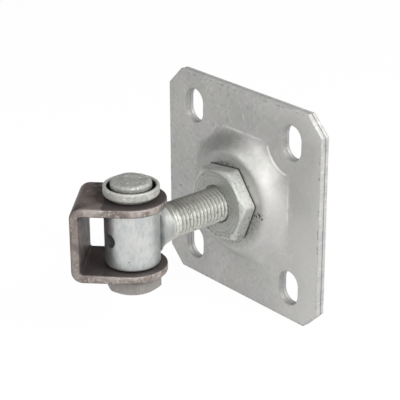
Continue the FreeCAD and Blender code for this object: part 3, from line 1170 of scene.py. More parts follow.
@dataclass(frozen=True)
class DomeShape:
    """Dome pressed in the plate: a square foot with scallops round the slots, rising to a round flat."""

    foot_width: float = FOOT_WIDTH
    flat_diameter: float = 43.0
    foot_slope: float = 0.45
    scallop_radius: float = SCALLOP_RADIUS
    corner_blend: float = 1.0
    round_radius: float = 31.3

    def foot(self, angle: Array, slot: Array, step: Array | float = 0.0) -> Array:
        """Radius of the foot at each angle: the nearer of the square's side and the scallop, softly joined.

        Above the plate the outline turns round, by one less the cube of what is left of the way up.

        Args:
            angle: Angles in the plate's plane.
            slot: Centre of the slot of the first quarter.
            step: Share of the way up the dome.

        Returns:
            Radius at each angle.
        """
        toward = np.abs(np.stack([np.cos(angle), np.sin(angle)], axis=-1))
        square = self.foot_width / 2.0 / toward.max(axis=-1)
        near = toward @ slot
        inside = near ** 2 - slot @ slot + self.scallop_radius ** 2
        scallop = np.where(inside > 0.0, near - np.sqrt(np.maximum(inside, 0.0)), np.inf)
        foot = -self.corner_blend * np.logaddexp(-square / self.corner_blend, -scallop / self.corner_blend)
        return self.round_radius + (foot - self.round_radius) * (1.0 - step) ** 3

    def rise(self, step: Array) -> tuple[Array, Array]:
        """Share of the height, and its slope, from the creased foot to the level top, a cubic in step.

        Args:
            step: Share of the way in from the foot.

        Returns:
            The share and the slope.
        """
        left = 1.0 - step
        share = step ** 2 * (3.0 - 2.0 * step) + self.foot_slope * step * left ** 2
        return share, 6.0 * step * left + self.foot_slope * left * (1.0 - 3.0 * step)


class PlateFace(IntEnum):
    """Finishes on the plates, by number."""

    SHEET = 0
    RIM = 1
    SLOT = 2


@dataclass
class WallPlates:
    """The pressed front plate and the flat back plate, both with cut corners and four upright slots."""

    finish: PlateFinish
    rim_finish: RimFinish
    slot_finish: ZincFinish
    dome: DomeShape = field(default_factory=DomeShape)
    corner_cut: float = 8.5
    slot_width: float = 11.5
    slot_height: float = 16.0
    slot_centre: Array = field(default_factory=lambda: np.array(SLOT_CENTRE))
    front_thickness: float = 2.5
    nut_hole: float = 11.08
    stem_hole: float = 10.0
    edge: float = 0.45
    foot_steps: int = 36
    rim_steps: tuple[int, int, int] = (14, 4, 14)
    axis_steps: int = 5
    dome_rows: int = 19

    def quarter_rim(self, inset: float) -> Array:
        """Rim of the first quarter, from the x axis to the z axis, drawn in by inset.

        Args:
            inset: Distance from the plate's outline.

        Returns:
            Points in the plate's plane, along three straight runs.
        """
        side = box_mm("front_plate")[1][0]
        half = side - inset
        corner = 2.0 * side - self.corner_cut - math.sqrt(2.0) * inset - half
        stops = np.array([[half, 0.0], [half, corner], [corner, half], [0.0, half]])
        runs = [np.linspace(stops[run], stops[run + 1], count, endpoint=False)
                for run, count in enumerate(self.rim_steps)]
        return np.concatenate([*runs, stops[-1:]])

    def rim(self, inset: float) -> Array:
        """Whole rim as the first quarter turned by each quarter turn.

        Args:
            inset: Distance from the plate's outline.

        Returns:
            Points in the plate's plane.
        """
        quarter = self.quarter_rim(inset)[:-1]
        turns = [quarter, quarter[:, ::-1] * [-1, 1], -quarter, quarter[:, ::-1] * [1, -1]]
        return np.concatenate(turns)

    def bay_border(self) -> Array:
        """Closed border of a quarter of the flat sheet: its rim, the two axes and the dome's foot.

        Returns:
            Points in the plate's plane.
        """
        rim = self.quarter_rim(self.edge)
        angle = np.linspace(np.pi / 2.0, 0.0, self.foot_steps + 1)
        radius = self.dome.foot(angle, self.slot_centre)
        foot = radius[:, None] * np.stack([np.cos(angle), np.sin(angle)], axis=-1)
        down = np.linspace(rim[-1], foot[0], self.axis_steps, endpoint=False)[1:]
        out = np.linspace(foot[-1], rim[0], self.axis_steps, endpoint=False)[1:]
        return np.concatenate([rim, down, foot, out])

    def slot_edge(self, border: Array, growth: float) -> Array:
        """Edge of the slot, met by rays from its centre to the border.

        A ray meets a straight side at half width / |cos|, or a round end where that lies beyond the side.

        Args:
            border: Points that the rays go to.
            growth: How far the edge is outside the slot's wall.

        Returns:
            One point for each ray.
        """
        ray = border - self.slot_centre
        ray /= np.linalg.norm(ray, axis=1, keepdims=True)
        flat, steep = np.abs(ray).T
        radius = self.slot_width / 2.0 + growth
        straight = (self.slot_height - self.slot_width) / 2.0
        side = radius / np.maximum(flat, TINY)
        end = straight * steep + np.sqrt(np.maximum(radius ** 2 - (straight * flat) ** 2, 0.0))
        reach = np.where(side * steep <= straight, side, end)
        return self.slot_centre + ray * reach[:, None]

    def sheet(self, front_y: float, back_y: float, rise: float, hole: float) -> Draft:
        """One plate: bays round the slots, the dome within its foot, and the rims' walls.

        Args:
            front_y: Front face.
            back_y: Back face.
            rise: Height of the dome, nothing on a flat plate.
            hole: Radius of the hole in the middle.

        Returns:
            The plate's closed mesh.
        """
        draft = Draft()
        thickness = back_y - front_y
        inset, depth = broken_edge(self.edge, thickness)
        border = self.bay_border()
        bay = np.stack([self.slot_edge(border, self.edge), border])
        walls = np.stack([self.slot_edge(border, growth) for growth in inset])
        for mirror in ([1, 1], [-1, 1], [-1, -1], [1, -1]):
            for level in (front_y, back_y):
                flat = self.lifted(bay * mirror, np.full(len(bay), level))
                draft.grid(flat, closed=True, finish=PlateFace.SHEET)
            draft.grid(self.lifted(walls * mirror, front_y + depth), closed=True, finish=PlateFace.SLOT)
        rims = np.stack([self.rim(distance) for distance in inset])
        draft.grid(self.lifted(rims, front_y + depth), closed=True, finish=PlateFace.RIM)
        for level, wall in ((front_y, 0.0), (back_y, thickness)):
            dome = self.raised(level, wall, rise, hole + self.edge)
            draft.grid(dome, closed=True, finish=PlateFace.SHEET)
        angle = full_turn(4 * self.foot_steps)
        middle = turned(hole + inset, front_y - rise + depth, angle, Axis.STEM)
        draft.grid(middle, closed=True, finish=PlateFace.SLOT)
        return draft

    def lifted(self, flat: Array, level: Array) -> Array:
        """Grid in the plate's plane put at a level along y for each row."""
        along = np.broadcast_to(level[:, None], flat.shape[:2])
        return np.stack([flat[..., 0], along, flat[..., 1]], axis=-1)

    def raised(self, level: float, wall: float, rise: float, hole: float) -> Array:
        """Dome from its foot to the hole's edge.

        Each row lies at a share of the way from the foot to the flat, lifted by the dome's rise, and drawn
        in by wall times the tangent of half the lean, which keeps the sheet's thickness.

        Args:
            level: Place of the flat sheet along y.
            wall: Distance behind the front face.
            rise: Height of the dome.
            hole: Radius at the hole's edge.

        Returns:
            Grid of points.
        """
        angle = full_turn(4 * self.foot_steps)
        step = np.linspace(0.0, 1.0, self.dome_rows)[:, None]
        share, slope = self.dome.rise(step)
        foot = self.dome.foot(angle, self.slot_centre, step)
        top = self.dome.flat_diameter / 2.0
        run = (self.dome.foot_width - self.dome.flat_diameter) / 2.0
        drawn = wall * np.tan(np.arctan(rise * slope / run) / 2.0)
        drawn[0] = 0.0
        radius = foot + (top - foot) * step - drawn
        radius = np.concatenate([radius, np.full((1, len(angle)), hole)])
        height = np.append(level - rise * share[:, 0], level - rise)
        return turned(radius, height, angle, Axis.STEM)

    def build(self) -> None:
        """Make both plates, dress them and hang them on the wall plate's body."""
        dressed = [finish.material() for finish in (self.finish, self.rim_finish, self.slot_finish)]
        low, high = box_mm("back_plate")
        front_low, _ = box_mm("front_plate")
        joint_y = low[1]
        face_y = joint_y - self.front_thickness
        rise = face_y - front_low[1]
        front = self.sheet(face_y, joint_y, rise, self.nut_hole).piece("pressed_plate", dressed)
        back = self.sheet(joint_y, high[1], 0.0, self.stem_hole).piece("flat_plate", dressed)
        for piece, node in ((front, "front_plate"), (back, "back_plate")):
            hang(piece, "wall_plate", node)


def hang(piece: bpy.types.Object, body: str, node: str) -> None:
    """Let a piece stand for a solid and move with its body.

    Args:
        piece: The finished piece.
        body: Body that it rides on.
        node: Solid that it replaces.
    """
    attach(piece, body)
    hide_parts(node)
    LOG.info("%s replaces %s with %d faces", piece.name, node, len(piece.data.polygons))


@dataclass
class CaptiveNut:
    """Adjusting nut with its lip behind the dome, and the washer that it pulls against."""

    finish: NutFinish
    hexagon: Hexagon = Hexagon(
        NUT_ACROSS_FLATS, NUT_TURN_DEG, cone_ends=((0.12, 0.02), (0.0, 0.2)), back_edge=0.3)
    thickness: float = 7.0
    bore: float = 8.08
    countersink: float = 0.9
    neck: float = 11.0
    lip: float = 12.5
    lip_chamfer: float = 1.0
    washer_rounds: tuple[float, ...] = (0.1, 0.3, 0.3, 0.1)

    def nut(self) -> Draft:
        """Closed turned surface: the countersunk face, the hexagon, the neck and the lip behind it.

        Returns:
            The nut's mesh.
        """
        low, high = box_mm("adjusting_nut")
        _, washer_high = box_mm("thrust_washer")
        front, lip_end, seat = low[1], high[1], washer_high[1]
        back = front + self.thickness
        rows = [
            (self.bore, front + self.countersink),
            (self.bore + self.countersink, front),
            *self.hexagon.rows(front, back),
            (self.neck, back),
            (self.neck, seat),
            (self.lip, seat),
            (self.lip, lip_end - self.lip_chamfer),
            (self.lip - self.lip_chamfer, lip_end),
            (self.bore, lip_end),
        ]
        radius, along = stacked([*rows, rows[0]], self.hexagon.columns)
        return Draft.of(turned(radius, along, self.hexagon.angle, Axis.STEM))

    def washer(self) -> Draft:
        """Flat ring with softly rounded edges.

        Returns:
            The washer's mesh.
        """
        low, high = box_mm("thrust_washer")
        corners = ring_section(self.neck, high[0], low[1], high[1])
        radius, along = rounded(corners, self.washer_rounds).T
        return Draft.of(turned(radius, along, full_turn(self.hexagon.columns), Axis.STEM))

    def build(self) -> None:
        """Make the nut and the washer and hang them on the nut's body."""
        dressed = [self.finish.material()]
        hang(self.nut().piece("hexagon_nut", dressed), "nut", "adjusting_nut")
        hang(self.washer().piece("hidden_washer", dressed), "nut", "thrust_washer")


class EyeFace(IntEnum):
    """Finishes on the eye bolt, by number."""

    FORGED = 0
    THREAD = 1


@dataclass
class EyeBolt:
    """Forged eye with its barrel, flared neck and rolled thread."""

    finish: EyeFinish
    thread_finish: ThreadFinish
    thread_reach: float = 16.0
    thread_pitch: float = 2.0
    thread_depth: float = 1.1
    thread_crest: float = 0.3
    run_out_turns: float = 3.0
    rows_per_pitch: int = 12
    stem_radius: float = 8.0
    stem_columns: int = 72
    end_chamfer: float = 1.5
    barrel_radius: float = BARREL_RADIUS
    barrel_round: float = 0.9
    barrel_columns: int = 160
    bore: float = PIN_BORE
    bore_round: float = 0.5
    round_steps: int = 6
    neck_length: float = 21.5
    neck_foot_radius: float = 11.0
    neck_rows: int = 30
    flare: float = 1.7
    grease_hole: float = 3.0
    drill_reach: tuple[float, float] = (20.0, 4.0)
    drill_columns: int = 48

    def barrel(self, centre_y: float, height: float) -> Draft:
        """Turned sleeve with rounded ends.

        Args:
            centre_y: Place of its axis along y.
            height: Length along the pin.

        Returns:
            The barrel's mesh.
        """
        corners = ring_section(self.bore, self.barrel_radius, -height / 2.0, height / 2.0)
        rounds = (self.bore_round, self.barrel_round, self.barrel_round, self.bore_round)
        radius, along = rounded(corners, rounds, self.round_steps).T
        return Draft.of(turned(radius, along, full_turn(self.barrel_columns), Axis.PIN, centre_y))

    def neck(self, along: Array, angle: Array, centre_y: float) -> Array:
        """Radius of the neck: a cone, and a flare that fades with the distance from the barrel's round wall.

        Args:
            along: Place of each row along y.
            angle: Angle of each column.
            centre_y: Place of the barrel's axis along y.

        Returns:
            Radius at each row and column.
        """
        share = np.clip((along - centre_y) / self.neck_length, 0.0, 1.0)
        cone = self.neck_foot_radius + (self.stem_radius - self.neck_foot_radius) * share
        wall = centre_y + np.sqrt(self.barrel_radius ** 2 - (cone * np.cos(angle)) ** 2)
        return cone + self.flare * np.exp(-np.maximum(along - wall, 0.0) / self.flare)

    def groove(self, along: Array, angle: Array) -> Array:
        """Depth of the thread: a right-handed V between narrow crests that runs out on the neck.

        The groove goes by the fraction of along / pitch + angle / turn.

        Args:
            along: Place of each row behind the thread's start.
            angle: Angle of each column.

        Returns:
            Depth at each row and column.
        """
        phase = along / self.thread_pitch + angle / (2.0 * np.pi)
        wave = np.abs(2.0 * (phase % 1.0) - 1.0)
        crest = self.thread_crest / self.thread_pitch
        groove = np.clip((wave - crest) / (1.0 - crest), 0.0, 1.0)
        run_out = np.clip(along / (self.thread_pitch * self.run_out_turns), 0.0, 1.0)
        return self.thread_depth * groove * run_out

    def stem(self, centre_y: float, end_y: float) -> Draft:
        """Neck and thread as one turned surface from inside the barrel's wall to the stem's end.

        Args:
            centre_y: Place of the barrel's axis along y.
            end_y: End of the stem.

        Returns:
            The stem's closed mesh.
        """
        start = centre_y + (self.bore + self.barrel_radius) / 2.0
        thread_y = centre_y + self.thread_reach
        near = np.linspace(start, thread_y, self.neck_rows, endpoint=False)
        far_rows = int((end_y - thread_y) / self.thread_pitch * self.rows_per_pitch) + 1
        far = np.linspace(thread_y, end_y, far_rows)
        along = np.concatenate([near, far])[:, None]
        angle = full_turn(self.stem_columns)
        radius = self.neck(along, angle, centre_y) - self.groove(along - thread_y, angle)
        radius = np.minimum(radius, self.stem_radius - self.end_chamfer + (end_y - along))
        radius = np.pad(radius, ((1, 1), (0, 0)))
        level = np.pad(along[:, 0], 1, mode="edge")
        points = turned(radius, level, angle, Axis.STEM)
        first = len(near) + 1
        draft = Draft()
        draft.grid(points[:first + 1], closed=True, finish=EyeFace.FORGED)
        draft.grid(points[first:], closed=True, finish=EyeFace.THREAD)
        return draft

    def drill(self, centre_y: float) -> Draft:
        """Round bar through the front of the barrel's wall, for the grease hole.

        Args:
            centre_y: Place of the barrel's axis along y.

        Returns:
            The bar's mesh.
        """
        radius = np.array([0.0, self.grease_hole, self.grease_hole, 0.0])
        level = centre_y - np.repeat(self.drill_reach, 2)
        return Draft.of(turned(radius, level, full_turn(self.drill_columns), Axis.STEM))

    def build(self) -> None:
        """Make the eye bolt from barrel, stem and hole, and hang it on the eye's body."""
        dressed = [self.finish.material(), self.thread_finish.material()]
        low, high = box_mm("eye_bolt")
        centre_y = low[1] + self.barrel_radius
        eye = self.barrel(centre_y, high[2] - low[2]).piece("threaded_eye", dressed)
        combine(eye, self.stem(centre_y, high[1]).piece("stem", dressed), Job.JOIN)
        combine(eye, self.drill(centre_y).piece("drill", dressed), Job.CUT)
        hang(eye, "eye", "eye_bolt")


class StripFace(IntEnum):
    """Finishes on the bracket, by number."""

    ROLLED = 0
    SHEARED = 1


@dataclass
class WeldBracket:
    """Bare strip bent to a U round the barrel, with round ends and holes for the pin."""

    face_finish: StripFinish
    edge_finish: StripFinish
    width: float = 30.0
    thickness: float = 4.0
    web_distance: float = 24.5
    bend_radius: float = 1.0
    hole: float = PIN_BORE
    edge: float = 0.9
    swing_deg: float = 45.0
    ear_length: float = 17.0
    barrel_radius: float = BARREL_RADIUS
    bend_rows: int = 11
    web_rows: int = 9
    end_columns: int = 49
    side_columns: int = 9
    across_columns: int = 13
    rolled_rows: int = 3

    @property
    def outer_radius(self) -> float:
        """Radius of the outside of a bend."""
        return self.bend_radius + self.thickness

    @property
    def straight(self) -> float:
        """Length of an ear from the pin to the bend."""
        return self.web_distance - self.outer_radius

    @property
    def bend(self) -> float:
        """Length of a bend along the middle of the strip."""
        return math.pi / 2.0 * (self.bend_radius + self.thickness / 2.0)

    @property
    def ear_top(self) -> float:
        """Height of the upper ear's outer face."""
        return box_mm("hinge_bracket")[1][2]

    @property
    def web(self) -> float:
        """Length of the web between the bends."""
        return 2.0 * (self.ear_top - self.outer_radius)

    @property
    def length(self) -> float:
        """Length of the flat strip between the two holes."""
        return 2.0 * (self.straight + self.bend) + self.web

    def bent(self, flat: Array, depth: Array) -> Array:
        """Put points of the flat strip on the bent one.

        Along the strip the direction turns by a quarter at each bend, about a centre that is outer radius
        below the outer face, so a point lies at outer radius less depth from that centre.

        Args:
            flat: Points as length along and place across the strip.
            depth: Depth of each row below the outer face.

        Returns:
            Points in the frame.
        """
        along, across = flat[..., 0], flat[..., 1]
        first = np.clip((along - self.straight) / self.bend, 0.0, 1.0)
        past_web = along - self.straight - self.bend - self.web
        second = np.clip(past_web / self.bend, 0.0, 1.0)
        angle = (first + second) * np.pi / 2.0
        arm = self.outer_radius - np.broadcast_to(depth[:, None], along.shape)
        back = np.maximum(past_web - self.bend, 0.0)
        down = np.clip(along - self.straight - self.bend, 0.0, self.web)
        x = -np.minimum(along, self.straight) + back - arm * np.sin(angle)
        z = self.ear_top - self.outer_radius - down + arm * np.cos(angle)
        swing = math.radians(self.swing_deg)
        centre_y = box_mm("eye_bolt")[0][1] + self.barrel_radius
        return np.stack([
            x * math.cos(swing) - across * math.sin(swing),
            x * math.sin(swing) + across * math.cos(swing) + centre_y,
            z], axis=-1)

    def both_ears(self, flat: Array) -> tuple[Array, Array]:
        """Points of the first ear, and the same given half a turn about the strip's middle."""
        return flat, [self.length, 0.0] - flat

    def side_stops(self) -> Array:
        """Lengths along the strip between the two ears' inner ends, close together on the bends.

        Returns:
            The lengths, in order.
        """
        bend_start, web_start = self.straight, self.straight + self.bend
        first = np.linspace(bend_start, web_start, self.bend_rows)
        middle = np.linspace(web_start, self.length - web_start, self.web_rows)[1:-1]
        ends = np.array([self.ear_length, self.length - self.ear_length])
        return np.concatenate([ends[:1], first, middle, self.length - first[::-1], ends[1:]])

    def round_end(self, half: float) -> Array:
        """Half circle round the first ear's hole, of radius half, from one side of the strip to the other."""
        angle = np.linspace(np.pi / 2.0, 3.0 * np.pi / 2.0, self.end_columns)
        return half * np.stack([np.cos(angle), np.sin(angle)], axis=-1)

    def ear_border(self, inset: float) -> Array:
        """Closed border of the first ear: round end, a side, the line across the strip and the other side.

        Args:
            inset: Distance from the strip's outline.

        Returns:
            Points of the flat strip.
        """
        half = self.width / 2.0 - inset
        end = self.round_end(half)
        corner, far = np.array([self.ear_length, -half]), np.array([self.ear_length, half])
        side = np.linspace(end[-1], corner, self.side_columns)[1:]
        line = np.linspace(corner, far, self.across_columns)[1:]
        other = np.linspace(far, end[0], self.side_columns)[1:-1]
        return np.concatenate([end, side, line, other])

    def hole_edge(self, border: Array, growth: float) -> Array:
        """Edge of the pin's hole on the rays to a border, grown by growth."""
        return border / np.linalg.norm(border, axis=1, keepdims=True) * (self.hole + growth)

    def blank_rim(self, inset: float) -> Array:
        """Closed outline of the flat strip, drawn in by inset.

        Args:
            inset: Distance from the outline.

        Returns:
            Points round the first ear's end, along a side, round the other end and back.
        """
        half = self.width / 2.0 - inset
        near = np.linspace(0.0, self.ear_length, self.side_columns)[1:-1]
        stops = np.concatenate([near, self.side_stops(), self.length - near[::-1]])
        side = np.stack([stops, np.full_like(stops, -half)], axis=-1)
        half_round = np.concatenate([self.round_end(half), side])
        return np.concatenate(self.both_ears(half_round))

    def strip(self) -> Draft:
        """Both faces of the ears and of the strip between them, with the walls of rim and holes.

        Returns:
            The bracket's closed mesh.
        """
        draft = Draft()
        inset, depth = broken_edge(self.edge, self.thickness)
        border = self.ear_border(self.edge)
        ear = np.stack([self.hole_edge(border, self.edge), border])
        wall = np.stack([self.hole_edge(border, growth) for growth in inset])
        across = np.linspace(-1.0, 1.0, self.across_columns) * (self.width / 2.0 - self.edge)
        middle = np.stack(np.meshgrid(self.side_stops(), across, indexing="ij"), axis=-1)
        for face in (0.0, self.thickness):
            draft.grid(self.bent(middle, np.full(len(middle), face)), finish=StripFace.ROLLED)
            for flat in self.both_ears(ear):
                draft.grid(self.bent(flat, np.full(len(flat), face)), closed=True, finish=StripFace.ROLLED)
        for flat in self.both_ears(wall):
            draft.grid(self.bent(flat, depth), closed=True, finish=StripFace.SHEARED)
        rim = self.bent(np.stack([self.blank_rim(distance) for distance in inset]), depth)
        rolled = self.rolled_rows
        draft.grid(rim[:rolled], closed=True, finish=StripFace.ROLLED)
        draft.grid(rim[rolled - 1:1 - rolled], closed=True, finish=StripFace.SHEARED)
        draft.grid(rim[-rolled:], closed=True, finish=StripFace.ROLLED)
        return draft

    def build(self) -> None:
        """Make the bracket, dress faces and edges, and hang it on its body."""
        dressed = [self.face_finish.material(), self.edge_finish.material()]
        hang(self.strip().piece("weld_bracket", dressed), "bracket", "hinge_bracket")


@dataclass
class PivotPin:
    """Pin with a hexagon head below and a hammered end above, and the dished washer under that end."""

    pin_finish: RivetFinish
    washer_finish: RivetFinish
    hexagon: Hexagon = Hexagon(22.0, 35.5, cone_ends=((0.0, 0.15),), back_edge=0.25)
    shank: float = 7.0
    head_height: float = 7.0
    rivet_radius: float = 8.9
    edge_round: float = 1.8
    edge_rows: int = 9
    crown: float = 0.2
    crown_rows: int = 25
    dents: int = 60
    dent_radius: float = 0.8
    dent_depth: float = 0.11
    dent_seed: int = 7
    floor: float = 2.0
    seat_radius: float = 9.5
    rim_width: float = 1.6
    washer_rounds: tuple[float, ...] = (0.2, 1.2, 1.3, 0.7, 0.7, 0.5, 0.1)
    round_steps: int = 7

    @property
    def centre_y(self) -> float:
        """Place of the pin's axis along y."""
        low, high = box_mm("retaining_washer")
        return (low[1] + high[1]) / 2.0

    def pin(self) -> Draft:
        """One turned surface from the head's end to the hammered end; the head's rows follow the hexagon.

        Returns:
            The pin's mesh.
        """
        low, high = box_mm("pivot_pin")
        washer_low, _ = box_mm("retaining_washer")
        bottom, top = low[2], high[2]
        head_top = bottom + self.head_height
        seat = washer_low[2] + self.floor
        shoulder = top - self.crown - self.edge_round
        flat = self.rivet_radius - self.edge_round
        bend = np.linspace(0.0, np.pi / 2.0, self.edge_rows)
        share = np.linspace(1.0, 0.0, self.crown_rows)[1:]
        rows = [
            (0.0, bottom),
            *self.hexagon.rows(bottom, head_top),
            (self.shank, head_top),
            (self.shank, seat),
            (self.rivet_radius, seat),
            *zip(flat + self.edge_round * np.cos(bend), shoulder + self.edge_round * np.sin(bend)),
            *zip(flat * share, top - self.crown * share ** 2),
        ]
        angle = self.hexagon.angle
        radius, level = stacked(rows, self.hexagon.columns)
        hammered = np.clip((level - shoulder) / self.edge_round, 0.0, 1.0)
        level = level - hammered * self.blows(radius * np.cos(angle), radius * np.sin(angle))
        return Draft.of(turned(radius, level, angle, Axis.PIN, self.centre_y))

    def blows(self, across: Array, around: Array) -> Array:
        """Depth of the hammer's dents: the sum of bell-shaped dips at seeded random spots.

        Args:
            across: Place of each point along x, from the pin's axis.
            around: Place of each point along y, from the pin's axis.

        Returns:
            Depth at each point.
        """
        draw = np.random.default_rng(self.dent_seed)
        spots = draw.uniform(-self.rivet_radius, self.rivet_radius, (self.dents, 2))
        away = (across[..., None] - spots[:, 0]) ** 2 + (around[..., None] - spots[:, 1]) ** 2
        return self.dent_depth * np.exp(-away / (2.0 * self.dent_radius ** 2)).sum(axis=-1)

    def washer(self) -> Draft:
        """Dish that flares from its seat to an upright rim, turned from a rounded outline.

        Returns:
            The washer's mesh.
        """
        low, high = box_mm("retaining_washer")
        bottom, top, rim = low[2], high[2], high[0]
        floor, inner = bottom + self.floor, rim - self.rim_width
        corners = [
            (self.shank, bottom), (self.seat_radius, bottom), (rim, floor), (rim, top),
            (inner, top), (inner, floor), (self.shank, floor)]
        radius, along = rounded(corners, self.washer_rounds, self.round_steps).T
        return Draft.of(turned(radius, along, full_turn(self.hexagon.columns), Axis.PIN, self.centre_y))

    def build(self) -> None:
        """Make pin and washer and hang them on the pin's body."""
        pin = self.pin().piece("riveted_pin", [self.pin_finish.material()])
        washer = self.washer().piece("dished_washer", [self.washer_finish.material()])
        hang(pin, "pin", "pivot_pin")
        hang(washer, "pin", "retaining_washer")


def view_axes(azimuth_deg: float, elevation_deg: float, roll_deg: float = 0.0) -> tuple[Array, Array, Array]:
    """Right, up and backward directions of something that looks at the hinge.

    Args:
        azimuth_deg: Turn about the vertical; nothing looks into the wall.
        elevation_deg: Height above the horizon.
        roll_deg: Turn about the line of sight.

    Returns:
        The three unit vectors.
    """
    azimuth, elevation, roll = np.radians([azimuth_deg, elevation_deg, roll_deg])
    level = np.array([np.cos(azimuth), np.sin(azimuth), 0.0])
    outward = np.array([np.sin(azimuth), -np.cos(azimuth), 0.0])
    back = outward * np.cos(elevation) + np.array([0.0, 0.0, np.sin(elevation)])
    upright = np.cross(back, level)
    right = np.cos(roll) * level + np.sin(roll) * upright
    return right, np.cos(roll) * upright - np.sin(roll) * level, back


def placed(spot: Array, right: Array, up: Array, back: Array) -> Matrix:
    """Matrix of an object at a spot that looks against back.

    Args:
        spot: Its place.
        right: Its direction to the right.
        up: Its direction upwards.
        back: Its direction backwards.

    Returns:
        The matrix.
    """
    matrix = np.eye(4)
    matrix[:3] = np.stack([right, up, back, spot], axis=1)
    return Matrix(matrix.tolist())


class StageTree:
    """Node tree of a stage object or of the world, put together from whole shaders."""

    def __init__(self, tree: bpy.types.NodeTree) -> None:
        """Take up a tree.

        Args:
            tree: The tree to draw in.
        """
        self.tree = tree

    @classmethod
    def of_material(cls, material: bpy.types.Material) -> "StageTree":
        """Tree of a new material, without the shader that Blender puts there.

        Args:
            material: The new material.

        Returns:
            Its tree.
        """
        material.use_nodes = True
        material.node_tree.nodes.remove(material.node_tree.nodes["Principled BSDF"])
        return cls(material.node_tree)

    def shader(self, kind: str, shade: float | None = None) -> Socket:
        """Plain shader.

        Args:
            kind: Blender's name of its node.
            shade: Grey of its colour, if that is set.

        Returns:
            Socket with the shader.
        """
        node = self.tree.nodes.new(kind)
        if shade is not None:
            node.inputs["Color"].default_value = (shade, shade, shade, 1.0)
        return node.outputs[0]

    def mix(self, share: Socket, under: Socket, over: Socket) -> Socket:
        """Shader laid over another by a share.

        Args:
            share: Socket from nothing to one.
            under: Socket with the shader below.
            over: Socket with the shader on top.

        Returns:
            Socket with the mixed shader.
        """
        node = self.tree.nodes.new("ShaderNodeMixShader")
        for socket, target in zip((share, under, over), node.inputs):
            self.tree.links.new(socket, target)
        return node.outputs["Shader"]

    def math(self, operation: str, first: Socket, second: Socket | float) -> Socket:
        """One sum of a socket with another or with a number.

        Args:
            operation: Blender's name of the sum.
            first: First socket.
            second: Second socket, or a number.

        Returns:
            Socket with the result.
        """
        node = self.tree.nodes.new("ShaderNodeMath")
        node.operation = operation
        self.tree.links.new(first, node.inputs[0])
        if isinstance(second, Socket):
            self.tree.links.new(second, node.inputs[1])
        else:
            node.inputs[1].default_value = second
        return node.outputs["Value"]

    def seen_directly(self) -> Socket:
        """One for what the camera sees itself or in a mirror or glass, else nothing.

        Returns:
            Socket with that share.
        """
        path = self.tree.nodes.new("ShaderNodeLightPath")
        share = path.outputs["Is Camera Ray"]
        for kind in ("Is Glossy Ray", "Is Transmission Ray"):
            share = self.math("MAXIMUM", share, path.outputs[kind])
        return share

    def show(self, shader: Socket, output: str) -> None:
        """Link a shader to the surface of an output node."""
        self.tree.links.new(shader, self.tree.nodes[output].inputs["Surface"])


def stage_sheet(name: str, corners: list, material: bpy.types.Material) -> bpy.types.Object:
    """One flat face that belongs to the stage.

    Args:
        name: Name of the object.
        corners: Its four corners in metres.
        material: Its material.

    Returns:
        The new object.
    """
    mesh = bpy.data.meshes.new(name)
    mesh.from_pydata(corners, [], [(0, 1, 2, 3)])
    mesh.materials.append(material)
    sheet = bpy.data.objects.new(name, mesh)
    bpy.context.scene.collection.objects.link(sheet)
    return sheet


@dataclass(frozen=True)
class SoftBox:
    """Rectangular lamp aimed at the middle of the hinge."""

    name: str
    azimuth_deg: float
    elevation_deg: float
    distance: float
    width: float
    height: float
    power: float
    aim: Triple = (0.0, -0.03, 0.0)

    def build(self) -> None:
        """Place the lamp."""
        lamp = bpy.data.lights.new(self.name, "AREA")
        lamp.shape = "RECTANGLE"
        lamp.size, lamp.size_y, lamp.energy = self.width, self.height, self.power
        right, up, back = view_axes(self.azimuth_deg, self.elevation_deg)
        holder = bpy.data.objects.new(self.name, lamp)
        holder.matrix_world = placed(np.array(self.aim) + back * self.distance, right, up, back)
        bpy.context.scene.collection.objects.link(holder)


@dataclass(frozen=True)
class DarkCard:
    """Dark card with a soft round edge, unseen by the camera, that gives the metal its dark reflections."""

    name: str
    azimuth_deg: float
    elevation_deg: float
    distance: float
    size: float
    core: float = 0.6
    shade: float = 0.04

    def build(self) -> None:
        """Place the card so that it faces the origin."""
        right, up, back = view_axes(self.azimuth_deg, self.elevation_deg)
        signs = np.array([[-1, -1], [1, -1], [1, 1], [-1, 1]]) * self.size / 2.0
        centre = back * self.distance
        corners = centre + signs[:, :1] * right + signs[:, 1:] * up
        card = stage_sheet(self.name, corners.tolist(), self.material(centre))
        card.visible_camera = False
        card.visible_shadow = False
        card.visible_diffuse = False

    def material(self, centre: Array) -> bpy.types.Material:
        """Matt black that fades to nothing towards the card's edge.

        Args:
            centre: Middle of the card, in metres.

        Returns:
            The material.
        """
        material = bpy.data.materials.new(self.name)
        stage = StageTree.of_material(material)
        tree = stage.tree
        place = tree.nodes.new("ShaderNodeTexCoord")
        away = tree.nodes.new("ShaderNodeVectorMath")
        away.operation = "DISTANCE"
        away.inputs[1].default_value = centre
        tree.links.new(place.outputs["Object"], away.inputs[0])
        fade = tree.nodes.new("ShaderNodeMapRange")
        fade.interpolation_type = "SMOOTHSTEP"
        fade.inputs["From Min"].default_value = self.size / 2.0 * self.core
        fade.inputs["From Max"].default_value = self.size / 2.0
        tree.links.new(away.outputs["Value"], fade.inputs["Value"])
        matt = stage.shader("ShaderNodeBsdfDiffuse", self.shade)
        clear = stage.shader("ShaderNodeBsdfTransparent")
        stage.show(stage.mix(fade.outputs["Result"], matt, clear), "Material Output")
        return material


